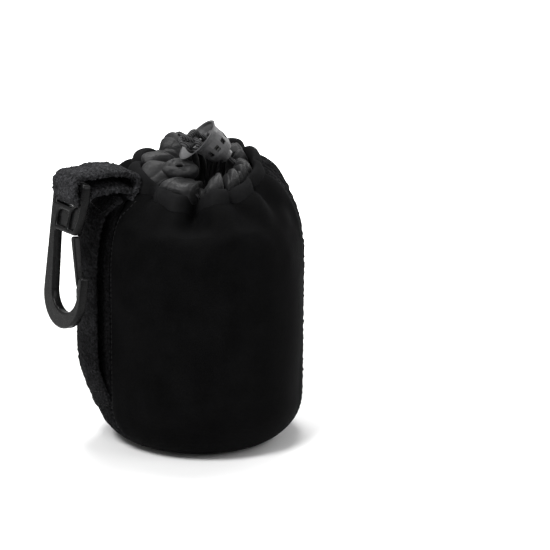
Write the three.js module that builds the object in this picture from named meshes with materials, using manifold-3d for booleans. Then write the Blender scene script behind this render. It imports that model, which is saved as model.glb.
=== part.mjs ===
// A drawstring lens pouch: a soft padded tube of two panels and a side band, gathered shut at the neck by a
// drawcord with a push-button cord lock, with a belt strap and a snap hook on a webbing loop.
// Millimetres, +Z up. The origin is the middle of the base, the front is -Y and the strap and hook are at -X.

import * as THREE from 'three';
import { mergeVertices } from 'three/addons/utils/BufferGeometryUtils.js';
import Module from 'manifold-3d';

const wasm = await Module();
wasm.setup();

// Pouch body
const BODY_RADIUS = 51;
const BASE_RADIUS = 31;
const BASE_CORNER_HEIGHT = 22;
const SHOULDER_START = 88;
const CREASE_HEIGHT = 135.5;
const CREASE_RADIUS = 31;
const WALL = 4.5;

// Side band, which runs down one side, under the base and up the other
const BAND_WIDTH = 28;
const BAND_PROUD = 0.8;
const BAND_BASE_FLARE = 4;
const BAND_STRAIGHT_FROM = 60;

// Clearances
const SEAM_GAP = 0.3;
const OVERRUN = 10;

// Gathered neck
const LOBES = 9;
const LOBE_STEPS = 8;
const LOBE_ROUND_SHARE = 0.55;
const VALLEY_SHARE = 0.19;
const VALLEY_DROP = 3;
const VALLEY_FULL_RADIUS = 25;
const GATHER_START = 100;
const NECK_LEAN_DEG = 12;
const NECK_SHIFT = 6;

// Rolled hem of the neck
const HEM_THICKNESS = 5.2;
const HEM_HEIGHT = 9;
const HEM_SINK = 3.2;

// Satin collar, folded over the drawcord into an arch and down into a funnel
const SATIN_THICKNESS = 1.4;
const SKIRT_LENGTH = 4.5;
const CHANNEL_RADIUS = 5.6;
const CHANNEL_RISE = 2.1;
const MOUTH_RADIUS = 9;
const MOUTH_DEPTH = 8.6;

// Drawcord
const CORD_DIAMETER = 2.4;
const CORD_SIDES = 8;
const CORD_SPACING = 2.7;
const STRAND_STEPS = 8;
const STRAND_ROUTE = [[16.5, 0.4], [13.6, 3.1], [8, 8.3], [4.6, 11.5], [3, 12.9], [0.3, 14.6]];
const KNOT_RADIUS = 4.2;
const KNOT_TAIL = 8;
const KNOT_TAIL_SHARES = [-0.7, 0.4, 0.45];

// Cord lock: a bell with its flared rim up to the left, and a split collet that a spring pulls into its throat
const LOCK_X = 0.8;
const LOCK_Y = -1;
const LOCK_RISE = 15;
const LOCK_TILT_DEG = 133;
const BELL_LENGTH = 14.4;
const BELL_RIM_RADIUS = 12.2;
const BELL_RADIUS = 7.7;
const BELL_END_RADIUS = 5.9;
const BELL_WALL = 1.8;
const BELL_RIM_WALL = 1.1;
const BELL_SHARES = [[0.05, 0.72], [0.12, 0.38], [0.26, 0.06], [0.5, 0]];
const BELL_SHOULDER_SHARE = 0.8;
const BELL_SHOULDER_RADIUS = 7.1;
const RIM_OFFSET = 3.4;
const RIM_OFFSET_LENGTH = 6;
const SEAT_LEVEL = 4.6;
const SEAT_THICKNESS = 1.2;
const THROAT_LENGTH = 1.8;
const COLLET_RADIUS = 3.7;
const COLLET_WALL = 0.9;
const COLLET_GAP = 0.3;
const FLANGE_THICKNESS = 1;
const JAW_LENGTH = 1.6;
const JAW_FLARE = 1.2;
const JAW_SLIT = 0.8;
const JAW_SLIT_LENGTH = 6;
const BUTTON_LENGTH = 3;
const BUTTON_TRAVEL = 1.5;
const WINDOWS = 10;
const WINDOW_WIDTH = 2.3;
const WINDOW_HEIGHT = 3;
const WINDOW_LEVEL = 8.4;
const LOCK_STEPS = 30;
const SPRING_WIRE = 0.5;
const SPRING_TURNS = 3.5;
const SPRING_STEPS = 10;
const SPRING_ROOM = 0.15;

// Belt strap on the side band
const STRAP_WIDTH = 28;
const STRAP_THICKNESS = 2.5;
const STRAP_BOTTOM = 18.5;
const STRAP_TOP_DROP = 15.5;
const STRAP_LIFT = 5.2;
const STRAP_BOW_SHARES = [
  [0, -0.35], [0.05, 0.05], [0.11, 0.5], [0.18, 0.85], [0.27, 1], [0.42, 1], [0.58, 1], [0.72, 1], [0.8, 1],
  [0.87, 0.85], [0.93, 0.5], [0.97, 0.1], [1, -0.35],
];

// Hanger loop of webbing; its runs are shares of the reach to the bar and of the way from sewn end to bar
const WEB_WIDTH = 20;
const WEB_THICKNESS = 2.4;
const HANGER_ROOT_DEPTH = 12;
const HANGER_ROOT_Y = -3;
const HANGER_TWIST_DEG = 20;
const HANGER_TOP_DROP = 1.9;
const HANGER_BOTTOM_DROP = 7.5;
const HANGER_TOP_SHARES = [[-0.22, 0], [-0.07, 0.5], [0.17, 0.83], [0.47, 1], [0.8, 1]];
const HANGER_BOTTOM_SHARES = [[0.8, 1], [0.57, 1.2], [0.33, 1.2], [0.12, 0.6], [0, 0]];
const BAR_REACH = 28;
const BAR_DROP = 1;
const LOOP_RADIUS = 4.4;
const LOOP_STEPS = 8;

// Snap hook, hanging a little outwards from the loop
const HOOK_SWING_DEG = 7.5;
const HOOK_THICKNESS = 4.4;
const HOOK_EDGE = 0.8;
const BAR_HALF_HEIGHT = 1.9;
const FRAME_NEAR = 13.6;
const FRAME_FAR = 14;
const SLOT_HALF_WIDTH = 10.5;
const NEAR_CORNER = 3;
const FAR_CORNER = 7;
const SLOT_FOOT = 10.8;
const SLOT_SLANT_LEVEL = 6.4;
const SLOT_SLANT_NEAR = 4.6;
const ARM_HEIGHT = 2.5;
const GUSSET_START = 7.5;
const GUSSET_LEVEL = 16;
const GUSSET_NEAR = 11.8;
const CROSSBAR_BOTTOM = 23.8;
const CROSSBAR_HEIGHT = 2.3;
const CROSSBAR_NEAR = 9;
const RIB_WIDTH = 1.7;
const RIB_TOP_NEAR = 2.8;
const RIB_FOOT_NEAR = 1.2;
const PANEL_WEB = 1.4;
const PANEL_ARCH = 4.5;
const SPINE_TOP_WIDTH = 5.8;
const SPINE_WIDTH = 8.2;
const BOW_LEVEL = 53;
const BOW_NEAR = 20;
const BOW_BAND = 8.3;
const NOSE_WIDTH = 3.6;
const NOSE_LEVEL = 43.6;
const CURVE_STEPS = 7;

// Gate tongue of the hook
const GATE_ROOT_RADIUS = 1.6;
const GATE_TIP_RADIUS = 1.2;
const GATE_DEPTH = 3.6;
const GATE_TIP_LEVEL = 45.5;

const RAD = Math.PI / 180;
const CHANNEL_HEIGHT = CREASE_HEIGHT + CHANNEL_RISE;
const STRAP_TOP = CREASE_HEIGHT - STRAP_TOP_DROP;
const HANGER_TOP = CREASE_HEIGHT - HANGER_TOP_DROP;
const HANGER_BOTTOM = CREASE_HEIGHT - HANGER_BOTTOM_DROP;
const BAR_LEVEL = CREASE_HEIGHT - BAR_DROP;
const SEGMENTS = LOBES * LOBE_STEPS;

const NEOPRENE = { color: 0x0f0f10, roughness: 0.85, metalness: 0 };
const PILE = { color: 0x1b1b1c, roughness: 1, metalness: 0 };
const HEM = { color: 0x161617, roughness: 0.8, metalness: 0 };
const SATIN = { color: 0x3c3d40, roughness: 0.5, metalness: 0 };
const CORD = { color: 0x161617, roughness: 0.9, metalness: 0 };
const WEBBING = { color: 0x1a1a1b, roughness: 0.9, metalness: 0 };
const PLASTIC = { color: 0x2e2f30, roughness: 0.35, metalness: 0 };
const LOCK_PLASTIC = { color: 0x5a5b5d, roughness: 0.4, metalness: 0 };
const STEEL = { color: 0xa8a8a4, roughness: 0.35, metalness: 1 };

// Solids

function volumeOf(position, index) {
  let sum = 0;
  const a = new THREE.Vector3();
  const b = new THREE.Vector3();
  const c = new THREE.Vector3();
  for (let i = 0; i < index.length; i += 3) {
    a.fromBufferAttribute(position, index[i]);
    b.fromBufferAttribute(position, index[i + 1]);
    c.fromBufferAttribute(position, index[i + 2]);
    sum += a.dot(b.cross(c));
  }
  return sum;
}

function solid(geometry) {
  const bare = geometry.clone();
  bare.deleteAttribute('normal');
  bare.deleteAttribute('uv');
  const merged = mergeVertices(bare);
  const position = merged.getAttribute('position');
  const all = merged.index.array;
  const kept = [];
  for (let i = 0; i < all.length; i += 3) {
    const [a, b, c] = [all[i], all[i + 1], all[i + 2]];
    if (a !== b && b !== c && c !== a) kept.push(a, b, c);
  }
  if (volumeOf(position, kept) < 0) kept.reverse();
  const mesh = new wasm.Mesh({
    numProp: 3,
    vertProperties: Float32Array.from(position.array),
    triVerts: Uint32Array.from(kept),
  });
  return new wasm.Manifold(mesh);
}

function geometryOf(manifold) {
  const { vertProperties, triVerts } = manifold.getMesh();
  const geometry = new THREE.BufferGeometry();
  geometry.setAttribute('position', new THREE.BufferAttribute(vertProperties, 3));
  geometry.setIndex(new THREE.BufferAttribute(triVerts, 1));
  geometry.computeVertexNormals();
  return geometry;
}

function piece(name, body, look) {
  const manifold = body instanceof THREE.BufferGeometry ? solid(body) : body;
  const mesh = new THREE.Mesh(geometryOf(manifold), new THREE.MeshStandardMaterial(look));
  mesh.name = name;
  return mesh;
}

function box(width, depth, height, x = 0, y = 0, z = 0) {
  return solid(new THREE.BoxGeometry(width, depth, height).translate(x, y, z));
}

// Turns a section of [radius, height] points about Z, from the front round by the right.
function revolve(section, segments = SEGMENTS) {
  const points = section.map(([radius, height]) => new THREE.Vector2(radius, height));
  if (points[0].x > 0) points.push(points[0].clone());
  return new THREE.LatheGeometry(points, segments).rotateX(Math.PI / 2);
}

// Joins rings of points in order and closes both ends.
function loft(rings) {
  const sides = rings[0].length;
  const position = rings.flat().flatMap((point) => [point.x, point.y, point.z]);
  const index = [];
  for (let ring = 0; ring + 1 < rings.length; ring += 1) {
    for (let side = 0; side < sides; side += 1) {
      const a = ring * sides + side;
      const b = ring * sides + (side + 1) % sides;
      index.push(a, b, b + sides, a, b + sides, a + sides);
    }
  }
  const last = (rings.length - 1) * sides;
  for (let side = 1; side + 1 < sides; side += 1) {
    index.push(0, side + 1, side, last, last + side, last + side + 1);
  }
  const geometry = new THREE.BufferGeometry();
  geometry.setAttribute('position', new THREE.Float32BufferAttribute(position, 3));
  geometry.setIndex(index);
  return geometry;
}

// A flat ribbon along a route of [outward, height] points, centred on its width, which lies along Y.
function ribbon(route, width, thickness) {
  const rings = route.map(([x, z], i) => {
    const before = route[Math.max(i - 1, 0)];
    const after = route[Math.min(i + 1, route.length - 1)];
    const along = new THREE.Vector2(after[0] - before[0], after[1] - before[1]).normalize();
    const across = along.multiplyScalar(thickness / 2);
    return [[1, 1], [-1, 1], [-1, -1], [1, -1]].map(([way, face]) => (
      new THREE.Vector3(x - across.y * face, way * width / 2, z + across.x * face)
    ));
  });
  return loft(rings);
}

// A round cord along a smooth line through the points given.
function tube(points, diameter, steps, sides = CORD_SIDES) {
  const curve = new THREE.CatmullRomCurve3(points, false, 'centripetal');
  const section = new THREE.Shape().absarc(0, 0, diameter / 2, 0, 2 * Math.PI);
  const outline = new THREE.Shape(section.getSpacedPoints(sides).slice(0, sides));
  return new THREE.ExtrudeGeometry(outline, { steps, bevelEnabled: false, extrudePath: curve });
}

// Pouch body

// Draws the neck together: lobes with creases between, a lean to the front and a shift of the mouth.
function gather(geometry) {
  const position = geometry.getAttribute('position');
  for (let i = 0; i < position.count; i += 1) {
    const [x, y, z] = [position.getX(i), position.getY(i), position.getZ(i)];
    const radius = Math.hypot(x, y);
    const valley = 1 - Math.abs(Math.cos((LOBES / 2) * Math.atan2(x, -y))) ** LOBE_ROUND_SHARE;
    const drawn = THREE.MathUtils.smoothstep(z, GATHER_START, CREASE_HEIGHT);
    const depth = VALLEY_SHARE * Math.min(1, radius / VALLEY_FULL_RADIUS);
    const scale = 1 - depth * valley * drawn;
    const shift = NECK_SHIFT * Math.max(0, 1 - radius / CREASE_RADIUS);
    const rise = y * Math.sin(NECK_LEAN_DEG * RAD) - VALLEY_DROP * valley;
    position.setXYZ(i, x * scale + shift * drawn, y * scale, z + rise * drawn);
  }
  return geometry;
}

// Radius of the body's wall at a height, before the neck is gathered.
function bodyRadius(height) {
  const width = BODY_RADIUS - BASE_RADIUS;
  const under = Math.max(0, BASE_CORNER_HEIGHT - height) / BASE_CORNER_HEIGHT;
  const over = Math.max(0, height - SHOULDER_START) / (CREASE_HEIGHT - SHOULDER_START);
  if (under > 0) return BASE_RADIUS + width * Math.sqrt(1 - under ** 2);
  return CREASE_RADIUS + (BODY_RADIUS - CREASE_RADIUS) * Math.sqrt(1 - over ** 2);
}

// One skin of the body as [radius, height] points from the base up to the crease, set in from the outside.
function skin(inset, proud, cornerSteps, shoulderSteps) {
  const radius = BODY_RADIUS + proud - inset;
  const points = [];
  for (let i = 0; i <= cornerSteps; i += 1) {
    const turn = (i / cornerSteps) * Math.PI / 2;
    points.push([
      BASE_RADIUS + (radius - BASE_RADIUS) * Math.sin(turn),
      BASE_CORNER_HEIGHT - (BASE_CORNER_HEIGHT - inset) * Math.cos(turn),
    ]);
  }
  for (let i = 0; i <= shoulderSteps; i += 1) {
    const turn = (i / shoulderSteps) * Math.PI / 2;
    points.push([
      CREASE_RADIUS + (radius - CREASE_RADIUS) * Math.cos(turn),
      SHOULDER_START + (CREASE_HEIGHT + proud - inset - SHOULDER_START) * Math.sin(turn),
    ]);
  }
  return points;
}

function shell(proud) {
  const outer = skin(0, proud, 6, 9);
  const inner = skin(WALL, 0, 4, 6).reverse();
  return solid(gather(revolve([[0, 0], ...outer, ...inner, [0, WALL]])));
}

// The body filled solid and grown, used to trim what is sewn onto it.
function filledBody() {
  const grown = BAND_PROUD + SEAM_GAP;
  return solid(gather(revolve([[0, 0], ...skin(0, grown, 6, 9), [0, CREASE_HEIGHT + grown]])));
}

// The space of the side band: a wedge on each side from the walls up, and a flared strip under the base.
function bandSpace(extra) {
  const half = BAND_WIDTH / 2;
  const slope = half / BODY_RADIUS;
  const far = BODY_RADIUS + OVERRUN;
  const near = CREASE_RADIUS / 2;
  const flared = half + BAND_BASE_FLARE;
  const profile = [
    [-flared, -OVERRUN], [flared, -OVERRUN], [flared, 0], [half, BASE_CORNER_HEIGHT], [half, BAND_STRAIGHT_FROM],
    [-half, BAND_STRAIGHT_FROM], [-half, BASE_CORNER_HEIGHT], [-flared, 0],
  ];
  const outline = new THREE.Shape(profile.map(([y, z]) => new THREE.Vector2(y + Math.sign(y) * extra, z)));
  const strip = new THREE.ExtrudeGeometry(outline, { depth: 2 * far, bevelEnabled: false });
  strip.rotateX(Math.PI / 2).rotateZ(Math.PI / 2).translate(-far, 0, 0);
  const wedges = [-1, 1].map((way) => {
    const plan = new THREE.Shape([
      new THREE.Vector2(way * near, -near * slope - extra),
      new THREE.Vector2(way * far, -far * slope - extra),
      new THREE.Vector2(way * far, far * slope + extra),
      new THREE.Vector2(way * near, near * slope + extra),
    ]);
    const depth = CREASE_HEIGHT + OVERRUN + OVERRUN - BAND_STRAIGHT_FROM;
    return solid(new THREE.ExtrudeGeometry(plan, { depth, bevelEnabled: false }).translate(0, 0, BAND_STRAIGHT_FROM));
  });
  return solid(strip).add(wedges[0]).add(wedges[1]);
}

function bodyPieces() {
  const walls = shell(0).subtract(bandSpace(SEAM_GAP));
  const reach = 2 * (BODY_RADIUS + OVERRUN);
  const tall = 2 * (CREASE_HEIGHT + 2 * OVERRUN);
  return [
    piece('front_panel', walls.intersect(box(reach, reach, tall, 0, -reach / 2)), NEOPRENE),
    piece('back_panel', walls.intersect(box(reach, reach, tall, 0, reach / 2)), NEOPRENE),
    piece('side_band', shell(BAND_PROUD).intersect(bandSpace(0)), PILE),
  ];
}

// Neck

const HEM_MIDDLE = CREASE_RADIUS - SEAM_GAP - HEM_THICKNESS / 2;
const HEM_STEPS = 8;

function hemPiece() {
  const level = CREASE_HEIGHT - HEM_SINK + HEM_HEIGHT / 2;
  const section = [];
  for (let i = 0; i < HEM_STEPS; i += 1) {
    const turn = (i / HEM_STEPS) * 2 * Math.PI;
    section.push([
      HEM_MIDDLE + (HEM_THICKNESS / 2) * Math.cos(turn),
      level + (HEM_HEIGHT / 2) * Math.sin(turn),
    ]);
  }
  return piece('top_hem', gather(revolve(section)), HEM);
}

const CHANNEL_MIDDLE = HEM_MIDDLE - HEM_THICKNESS / 2 - SEAM_GAP - CHANNEL_RADIUS;
const ARCH_STEPS = 6;

function arch(radius) {
  const points = [];
  for (let i = 0; i <= ARCH_STEPS; i += 1) {
    const turn = (i / ARCH_STEPS) * Math.PI;
    points.push([CHANNEL_MIDDLE + radius * Math.cos(turn), CHANNEL_HEIGHT + radius * Math.sin(turn)]);
  }
  return points;
}

function collarPiece() {
  const inside = CHANNEL_RADIUS - SATIN_THICKNESS;
  const foot = CHANNEL_HEIGHT - SKIRT_LENGTH;
  const low = CHANNEL_HEIGHT - MOUTH_DEPTH;
  const section = [
    [CHANNEL_MIDDLE + CHANNEL_RADIUS, foot],
    ...arch(CHANNEL_RADIUS),
    [MOUTH_RADIUS, low],
    [MOUTH_RADIUS + SATIN_THICKNESS, low],
    ...arch(inside).reverse(),
    [CHANNEL_MIDDLE + inside, foot],
  ];
  return piece('satin_collar', gather(revolve(section)), SATIN);
}

// Drawcord

function drawcordPieces() {
  const ring = [];
  for (let i = 0; i < CORD_SIDES; i += 1) {
    const turn = (i / CORD_SIDES) * 2 * Math.PI;
    ring.push([
      CHANNEL_MIDDLE + (CORD_DIAMETER / 2) * Math.cos(turn),
      CHANNEL_HEIGHT + (CORD_DIAMETER / 2) * Math.sin(turn),
    ]);
  }
  const loop = piece('drawcord_loop', gather(revolve(ring, SEGMENTS / 2)), CORD);
  const strands = [['drawcord_strand_front', -1], ['drawcord_strand_back', 1]].map(([name, way]) => {
    const y = LOCK_Y + way * CORD_SPACING / 2;
    const route = STRAND_ROUTE.map(([x, rise]) => new THREE.Vector3(x, y, CHANNEL_HEIGHT + rise));
    return piece(name, tube(route, CORD_DIAMETER, STRAND_STEPS), CORD);
  });
  return [loop, ...strands, knotPiece()];
}

// The knot at the end of both strands, with their two short tails.
function knotPiece() {
  const lasts = STRAND_ROUTE.slice(-2).reverse();
  const [end, before] = lasts.map(([x, rise]) => new THREE.Vector3(x, LOCK_Y, CHANNEL_HEIGHT + rise));
  const away = end.clone().sub(before).normalize();
  const centre = end.clone().addScaledVector(away, KNOT_RADIUS + SEAM_GAP);
  const ball = new THREE.IcosahedronGeometry(KNOT_RADIUS, 2).translate(centre.x, centre.y, centre.z);
  const [tailX, tailY, tailZ] = KNOT_TAIL_SHARES.map((share) => share * KNOT_TAIL);
  const tails = [-1, 1].map((way) => {
    const tip = new THREE.Vector3(tailX, way * tailY, tailZ).add(centre);
    return solid(tube([centre, tip], CORD_DIAMETER, 2));
  });
  return piece('cord_knot', solid(ball).add(tails[0]).add(tails[1]), CORD);
}

// Cord lock, made with its axis upright and its rim at the origin, and then tilted into place

function lockPlace(manifold) {
  return manifold.rotate([0, LOCK_TILT_DEG, 0]).translate([LOCK_X, LOCK_Y, CHANNEL_HEIGHT + LOCK_RISE]);
}

// Pushes the rim of the bell sideways, so that it stands out as a long lip on one side.
function offsetRim(geometry) {
  const position = geometry.getAttribute('position');
  for (let i = 0; i < position.count; i += 1) {
    const near = Math.max(0, 1 - position.getZ(i) / RIM_OFFSET_LENGTH);
    position.setX(i, position.getX(i) + RIM_OFFSET * near * near);
  }
  return geometry;
}

function lockPieces() {
  const throat = COLLET_RADIUS + COLLET_GAP;
  const bore = BELL_RADIUS - BELL_WALL;
  const flare = BELL_SHARES.map(([along, out]) => (
    [BELL_RADIUS + out * (BELL_RIM_RADIUS - BELL_RADIUS), along * BELL_LENGTH]
  ));
  const outside = [
    [BELL_RIM_RADIUS, 0], ...flare, [BELL_SHOULDER_RADIUS, BELL_SHOULDER_SHARE * BELL_LENGTH],
    [BELL_END_RADIUS, BELL_LENGTH],
  ];
  const inside = flare.filter(([, z]) => z < SEAT_LEVEL - BELL_RIM_WALL).map(([radius, z]) => (
    [radius - BELL_RIM_WALL, z + BELL_RIM_WALL / 2]
  ));
  const bell = solid(offsetRim(revolve([
    ...outside,
    [throat, BELL_LENGTH], [throat, BELL_LENGTH - THROAT_LENGTH], [bore, BELL_LENGTH - THROAT_LENGTH],
    [bore, SEAT_LEVEL + SEAT_THICKNESS], [throat, SEAT_LEVEL + SEAT_THICKNESS], [throat, SEAT_LEVEL],
    [bore, SEAT_LEVEL],
    ...inside.reverse(), [BELL_RIM_RADIUS - BELL_RIM_WALL, 0],
  ], LOCK_STEPS)));
  let barrel = bell;
  for (let i = 0; i < WINDOWS; i += 1) {
    const turn = THREE.MathUtils.radToDeg(((i + 0.5) / WINDOWS) * 2 * Math.PI);
    const window = box(BELL_RADIUS, WINDOW_WIDTH, WINDOW_HEIGHT, bore + BELL_RADIUS / 2 - COLLET_GAP, 0, WINDOW_LEVEL);
    barrel = barrel.subtract(window.rotate([0, 0, turn]));
  }

  const bite = COLLET_RADIUS - COLLET_WALL;
  const flange = BELL_LENGTH - THROAT_LENGTH - COLLET_GAP;
  const jaw = SEAT_LEVEL - COLLET_GAP;
  let collet = solid(revolve([
    [bite, jaw - JAW_LENGTH], [COLLET_RADIUS + JAW_FLARE, jaw - JAW_LENGTH], [COLLET_RADIUS, jaw],
    [COLLET_RADIUS, flange - FLANGE_THICKNESS], [bore - COLLET_GAP, flange - FLANGE_THICKNESS],
    [bore - COLLET_GAP, flange], [COLLET_RADIUS, flange],
    [COLLET_RADIUS, BELL_LENGTH + BUTTON_LENGTH], [bite, BELL_LENGTH + BUTTON_LENGTH],
  ], LOCK_STEPS));
  const across = 2 * (COLLET_RADIUS + JAW_FLARE) + OVERRUN;
  const slitLevel = jaw - JAW_LENGTH + JAW_SLIT_LENGTH / 2 - OVERRUN / 2;
  [45, 135].forEach((turn) => {
    const slit = box(across, JAW_SLIT, JAW_SLIT_LENGTH + OVERRUN, 0, 0, slitLevel);
    collet = collet.subtract(slit.rotate([0, 0, turn]));
  });

  const low = SEAT_LEVEL + SEAT_THICKNESS + SPRING_WIRE / 2 + SPRING_ROOM;
  const high = flange - FLANGE_THICKNESS - SPRING_WIRE / 2 - SPRING_ROOM;
  return [
    piece('cord_lock_barrel', lockPlace(barrel), LOCK_PLASTIC),
    piece('cord_lock_plunger', lockPlace(collet), LOCK_PLASTIC),
    piece('cord_lock_spring', lockPlace(spring((COLLET_RADIUS + bore) / 2, low, high)), STEEL),
  ];
}

function spring(radius, low, high) {
  const steps = Math.round(SPRING_TURNS * SPRING_STEPS);
  const points = [];
  for (let i = 0; i <= steps; i += 1) {
    const turn = (i / SPRING_STEPS) * 2 * Math.PI;
    points.push(new THREE.Vector3(radius * Math.cos(turn), radius * Math.sin(turn), low + (high - low) * (i / steps)));
  }
  return solid(tube(points, SPRING_WIRE, steps, 6));
}

// Belt strap and hanger loop

function hangerPlace(manifold) {
  return manifold.rotate([0, 0, HANGER_TWIST_DEG]).translate([HANGER_ROOT_DEPTH - BODY_RADIUS, HANGER_ROOT_Y, 0]);
}

function strapPieces() {
  const body = filledBody();
  const bow = STRAP_BOW_SHARES.map(([along, lift]) => {
    const z = THREE.MathUtils.lerp(STRAP_BOTTOM, STRAP_TOP, along);
    return [-bodyRadius(z) - BAND_PROUD - STRAP_THICKNESS / 2 - lift * STRAP_LIFT, z];
  });
  const strap = solid(ribbon(bow, STRAP_WIDTH, STRAP_THICKNESS)).subtract(body);
  const round = [];
  for (let i = 0; i <= LOOP_STEPS; i += 1) {
    const turn = (i / LOOP_STEPS - 0.5) * Math.PI;
    round.push([BAR_REACH + LOOP_RADIUS * Math.cos(turn), BAR_LEVEL + LOOP_RADIUS * Math.sin(turn)]);
  }
  const [high, low] = [BAR_LEVEL + LOOP_RADIUS, BAR_LEVEL - LOOP_RADIUS];
  const above = HANGER_TOP_SHARES.map(([out, way]) => [out * BAR_REACH, HANGER_TOP + way * (high - HANGER_TOP)]);
  const below = HANGER_BOTTOM_SHARES.map(([out, way]) => (
    [out * BAR_REACH, HANGER_BOTTOM + way * (low - HANGER_BOTTOM)]
  ));
  const route = [...above, ...round.reverse(), ...below].map(([out, z]) => [-out, z]);
  const hanger = hangerPlace(solid(ribbon(route, WEB_WIDTH, WEB_THICKNESS))).subtract(body);
  return [
    piece('belt_strap', strap, WEBBING),
    piece('hanger_loop', hanger, WEBBING),
  ];
}

// Snap hook, drawn with its far side along +X and its bar at the origin, then stood up at the end of the loop

function hookPlace(manifold) {
  const stood = manifold.rotate([90, 0, 0]).rotate([0, 0, 90]).rotate([0, HOOK_SWING_DEG, 0]);
  return hangerPlace(stood.translate([-BAR_REACH, 0, BAR_LEVEL]));
}

function slab(outline, thickness, edge) {
  const options = {
    depth: thickness - 2 * edge,
    bevelThickness: edge,
    bevelSize: edge,
    bevelOffset: -edge,
    bevelSegments: 1,
    curveSegments: CURVE_STEPS,
  };
  return solid(new THREE.ExtrudeGeometry(outline, options).translate(0, 0, edge - thickness / 2));
}

function outlineOf(points) {
  return new THREE.Shape(points.map(([x, y]) => new THREE.Vector2(x, y)));
}

// The two recessed panels below the slot, on both faces, with ribs round them and a thin web behind
function hookPanels() {
  const armFoot = -SLOT_FOOT - ARM_HEIGHT;
  const crossTop = CROSSBAR_HEIGHT - CROSSBAR_BOTTOM;
  const half = RIB_WIDTH / 2;
  const spine = FRAME_FAR - SPINE_TOP_WIDTH;
  const far = outlineOf([[half - RIB_TOP_NEAR, armFoot], [half - RIB_FOOT_NEAR, crossTop], [spine, crossTop]]);
  far.lineTo(spine, armFoot - PANEL_ARCH);
  far.quadraticCurveTo(spine, armFoot, spine - PANEL_ARCH, armFoot);
  const near = outlineOf([
    [-half - RIB_TOP_NEAR, armFoot],
    [-SLOT_SLANT_NEAR - half, -SLOT_FOOT - half],
    [-SLOT_HALF_WIDTH - half, -SLOT_SLANT_LEVEL - half],
    [RIB_WIDTH - FRAME_NEAR, -GUSSET_START - half],
    [RIB_WIDTH - GUSSET_NEAR, -GUSSET_LEVEL],
    [RIB_WIDTH - CROSSBAR_NEAR, crossTop],
    [-half - RIB_FOOT_NEAR, crossTop],
  ]);
  const depth = (HOOK_THICKNESS - PANEL_WEB) / 2;
  const cuts = [];
  [far, near].forEach((outline) => {
    const cut = solid(new THREE.ExtrudeGeometry(outline, {
      depth: depth + OVERRUN,
      bevelEnabled: false,
      curveSegments: CURVE_STEPS,
    }));
    cuts.push(cut.translate([0, 0, PANEL_WEB / 2]), cut.translate([0, 0, -PANEL_WEB / 2 - depth - OVERRUN]));
  });
  return cuts;
}

function hookBody() {
  const bowMiddle = (FRAME_FAR - BOW_NEAR) / 2;
  const bowOuter = (FRAME_FAR + BOW_NEAR) / 2;
  const inFar = FRAME_FAR - SPINE_WIDTH;
  const inNear = NOSE_WIDTH - BOW_NEAR;
  const inMiddle = (inFar + inNear) / 2;
  const inRadius = (inFar - inNear) / 2;
  const inLevel = BOW_LEVEL + bowOuter - BOW_BAND - inRadius;
  const outline = new THREE.Shape();
  outline.moveTo(NEAR_CORNER - FRAME_NEAR, BAR_HALF_HEIGHT);
  outline.lineTo(FRAME_FAR - FAR_CORNER, BAR_HALF_HEIGHT);
  outline.quadraticCurveTo(FRAME_FAR, BAR_HALF_HEIGHT, FRAME_FAR, BAR_HALF_HEIGHT - FAR_CORNER);
  outline.lineTo(FRAME_FAR, -BOW_LEVEL);
  outline.absarc(bowMiddle, -BOW_LEVEL, bowOuter, 0, -Math.PI, true);
  outline.lineTo(-BOW_NEAR, -NOSE_LEVEL);
  outline.absarc(NOSE_WIDTH / 2 - BOW_NEAR, -NOSE_LEVEL, NOSE_WIDTH / 2, Math.PI, 0, true);
  outline.lineTo(inNear, -inLevel);
  outline.absarc(inMiddle, -inLevel, inRadius, Math.PI, 2 * Math.PI, false);
  outline.lineTo(FRAME_FAR - SPINE_TOP_WIDTH, -CROSSBAR_BOTTOM);
  outline.lineTo(-CROSSBAR_NEAR, -CROSSBAR_BOTTOM);
  outline.lineTo(-GUSSET_NEAR, -GUSSET_LEVEL);
  outline.lineTo(-FRAME_NEAR, -GUSSET_START);
  outline.lineTo(-FRAME_NEAR, BAR_HALF_HEIGHT - NEAR_CORNER);
  outline.quadraticCurveTo(-FRAME_NEAR, BAR_HALF_HEIGHT, NEAR_CORNER - FRAME_NEAR, BAR_HALF_HEIGHT);
  outline.holes.push(outlineOf([
    [-SLOT_HALF_WIDTH, -BAR_HALF_HEIGHT],
    [-SLOT_HALF_WIDTH, -SLOT_SLANT_LEVEL],
    [-SLOT_SLANT_NEAR, -SLOT_FOOT],
    [SLOT_HALF_WIDTH, -SLOT_FOOT],
    [SLOT_HALF_WIDTH, -BAR_HALF_HEIGHT],
  ]));
  let hook = slab(outline, HOOK_THICKNESS, HOOK_EDGE);
  hookPanels().forEach((cut) => {
    hook = hook.subtract(cut);
  });
  return hook;
}

// The tongue from the crossbar down to the inside of the nose; its root is the gate's pivot.
function hookGate() {
  const root = new THREE.Vector2(
    GATE_ROOT_RADIUS - CROSSBAR_NEAR,
    -CROSSBAR_BOTTOM - SEAM_GAP - GATE_ROOT_RADIUS,
  );
  const tip = new THREE.Vector2(NOSE_WIDTH - BOW_NEAR + SEAM_GAP + GATE_TIP_RADIUS, -GATE_TIP_LEVEL);
  const along = Math.atan2(tip.y - root.y, tip.x - root.x);
  const outline = new THREE.Shape();
  outline.absarc(root.x, root.y, GATE_ROOT_RADIUS, along + Math.PI / 2, along + 1.5 * Math.PI, false);
  outline.absarc(tip.x, tip.y, GATE_TIP_RADIUS, along - Math.PI / 2, along + Math.PI / 2, false);
  return slab(outline, GATE_DEPTH, HOOK_EDGE / 2);
}

function hookPieces() {
  return [
    piece('snap_hook_body', hookPlace(hookBody()), PLASTIC),
    piece('snap_hook_gate', hookPlace(hookGate()), PLASTIC),
  ];
}

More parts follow.
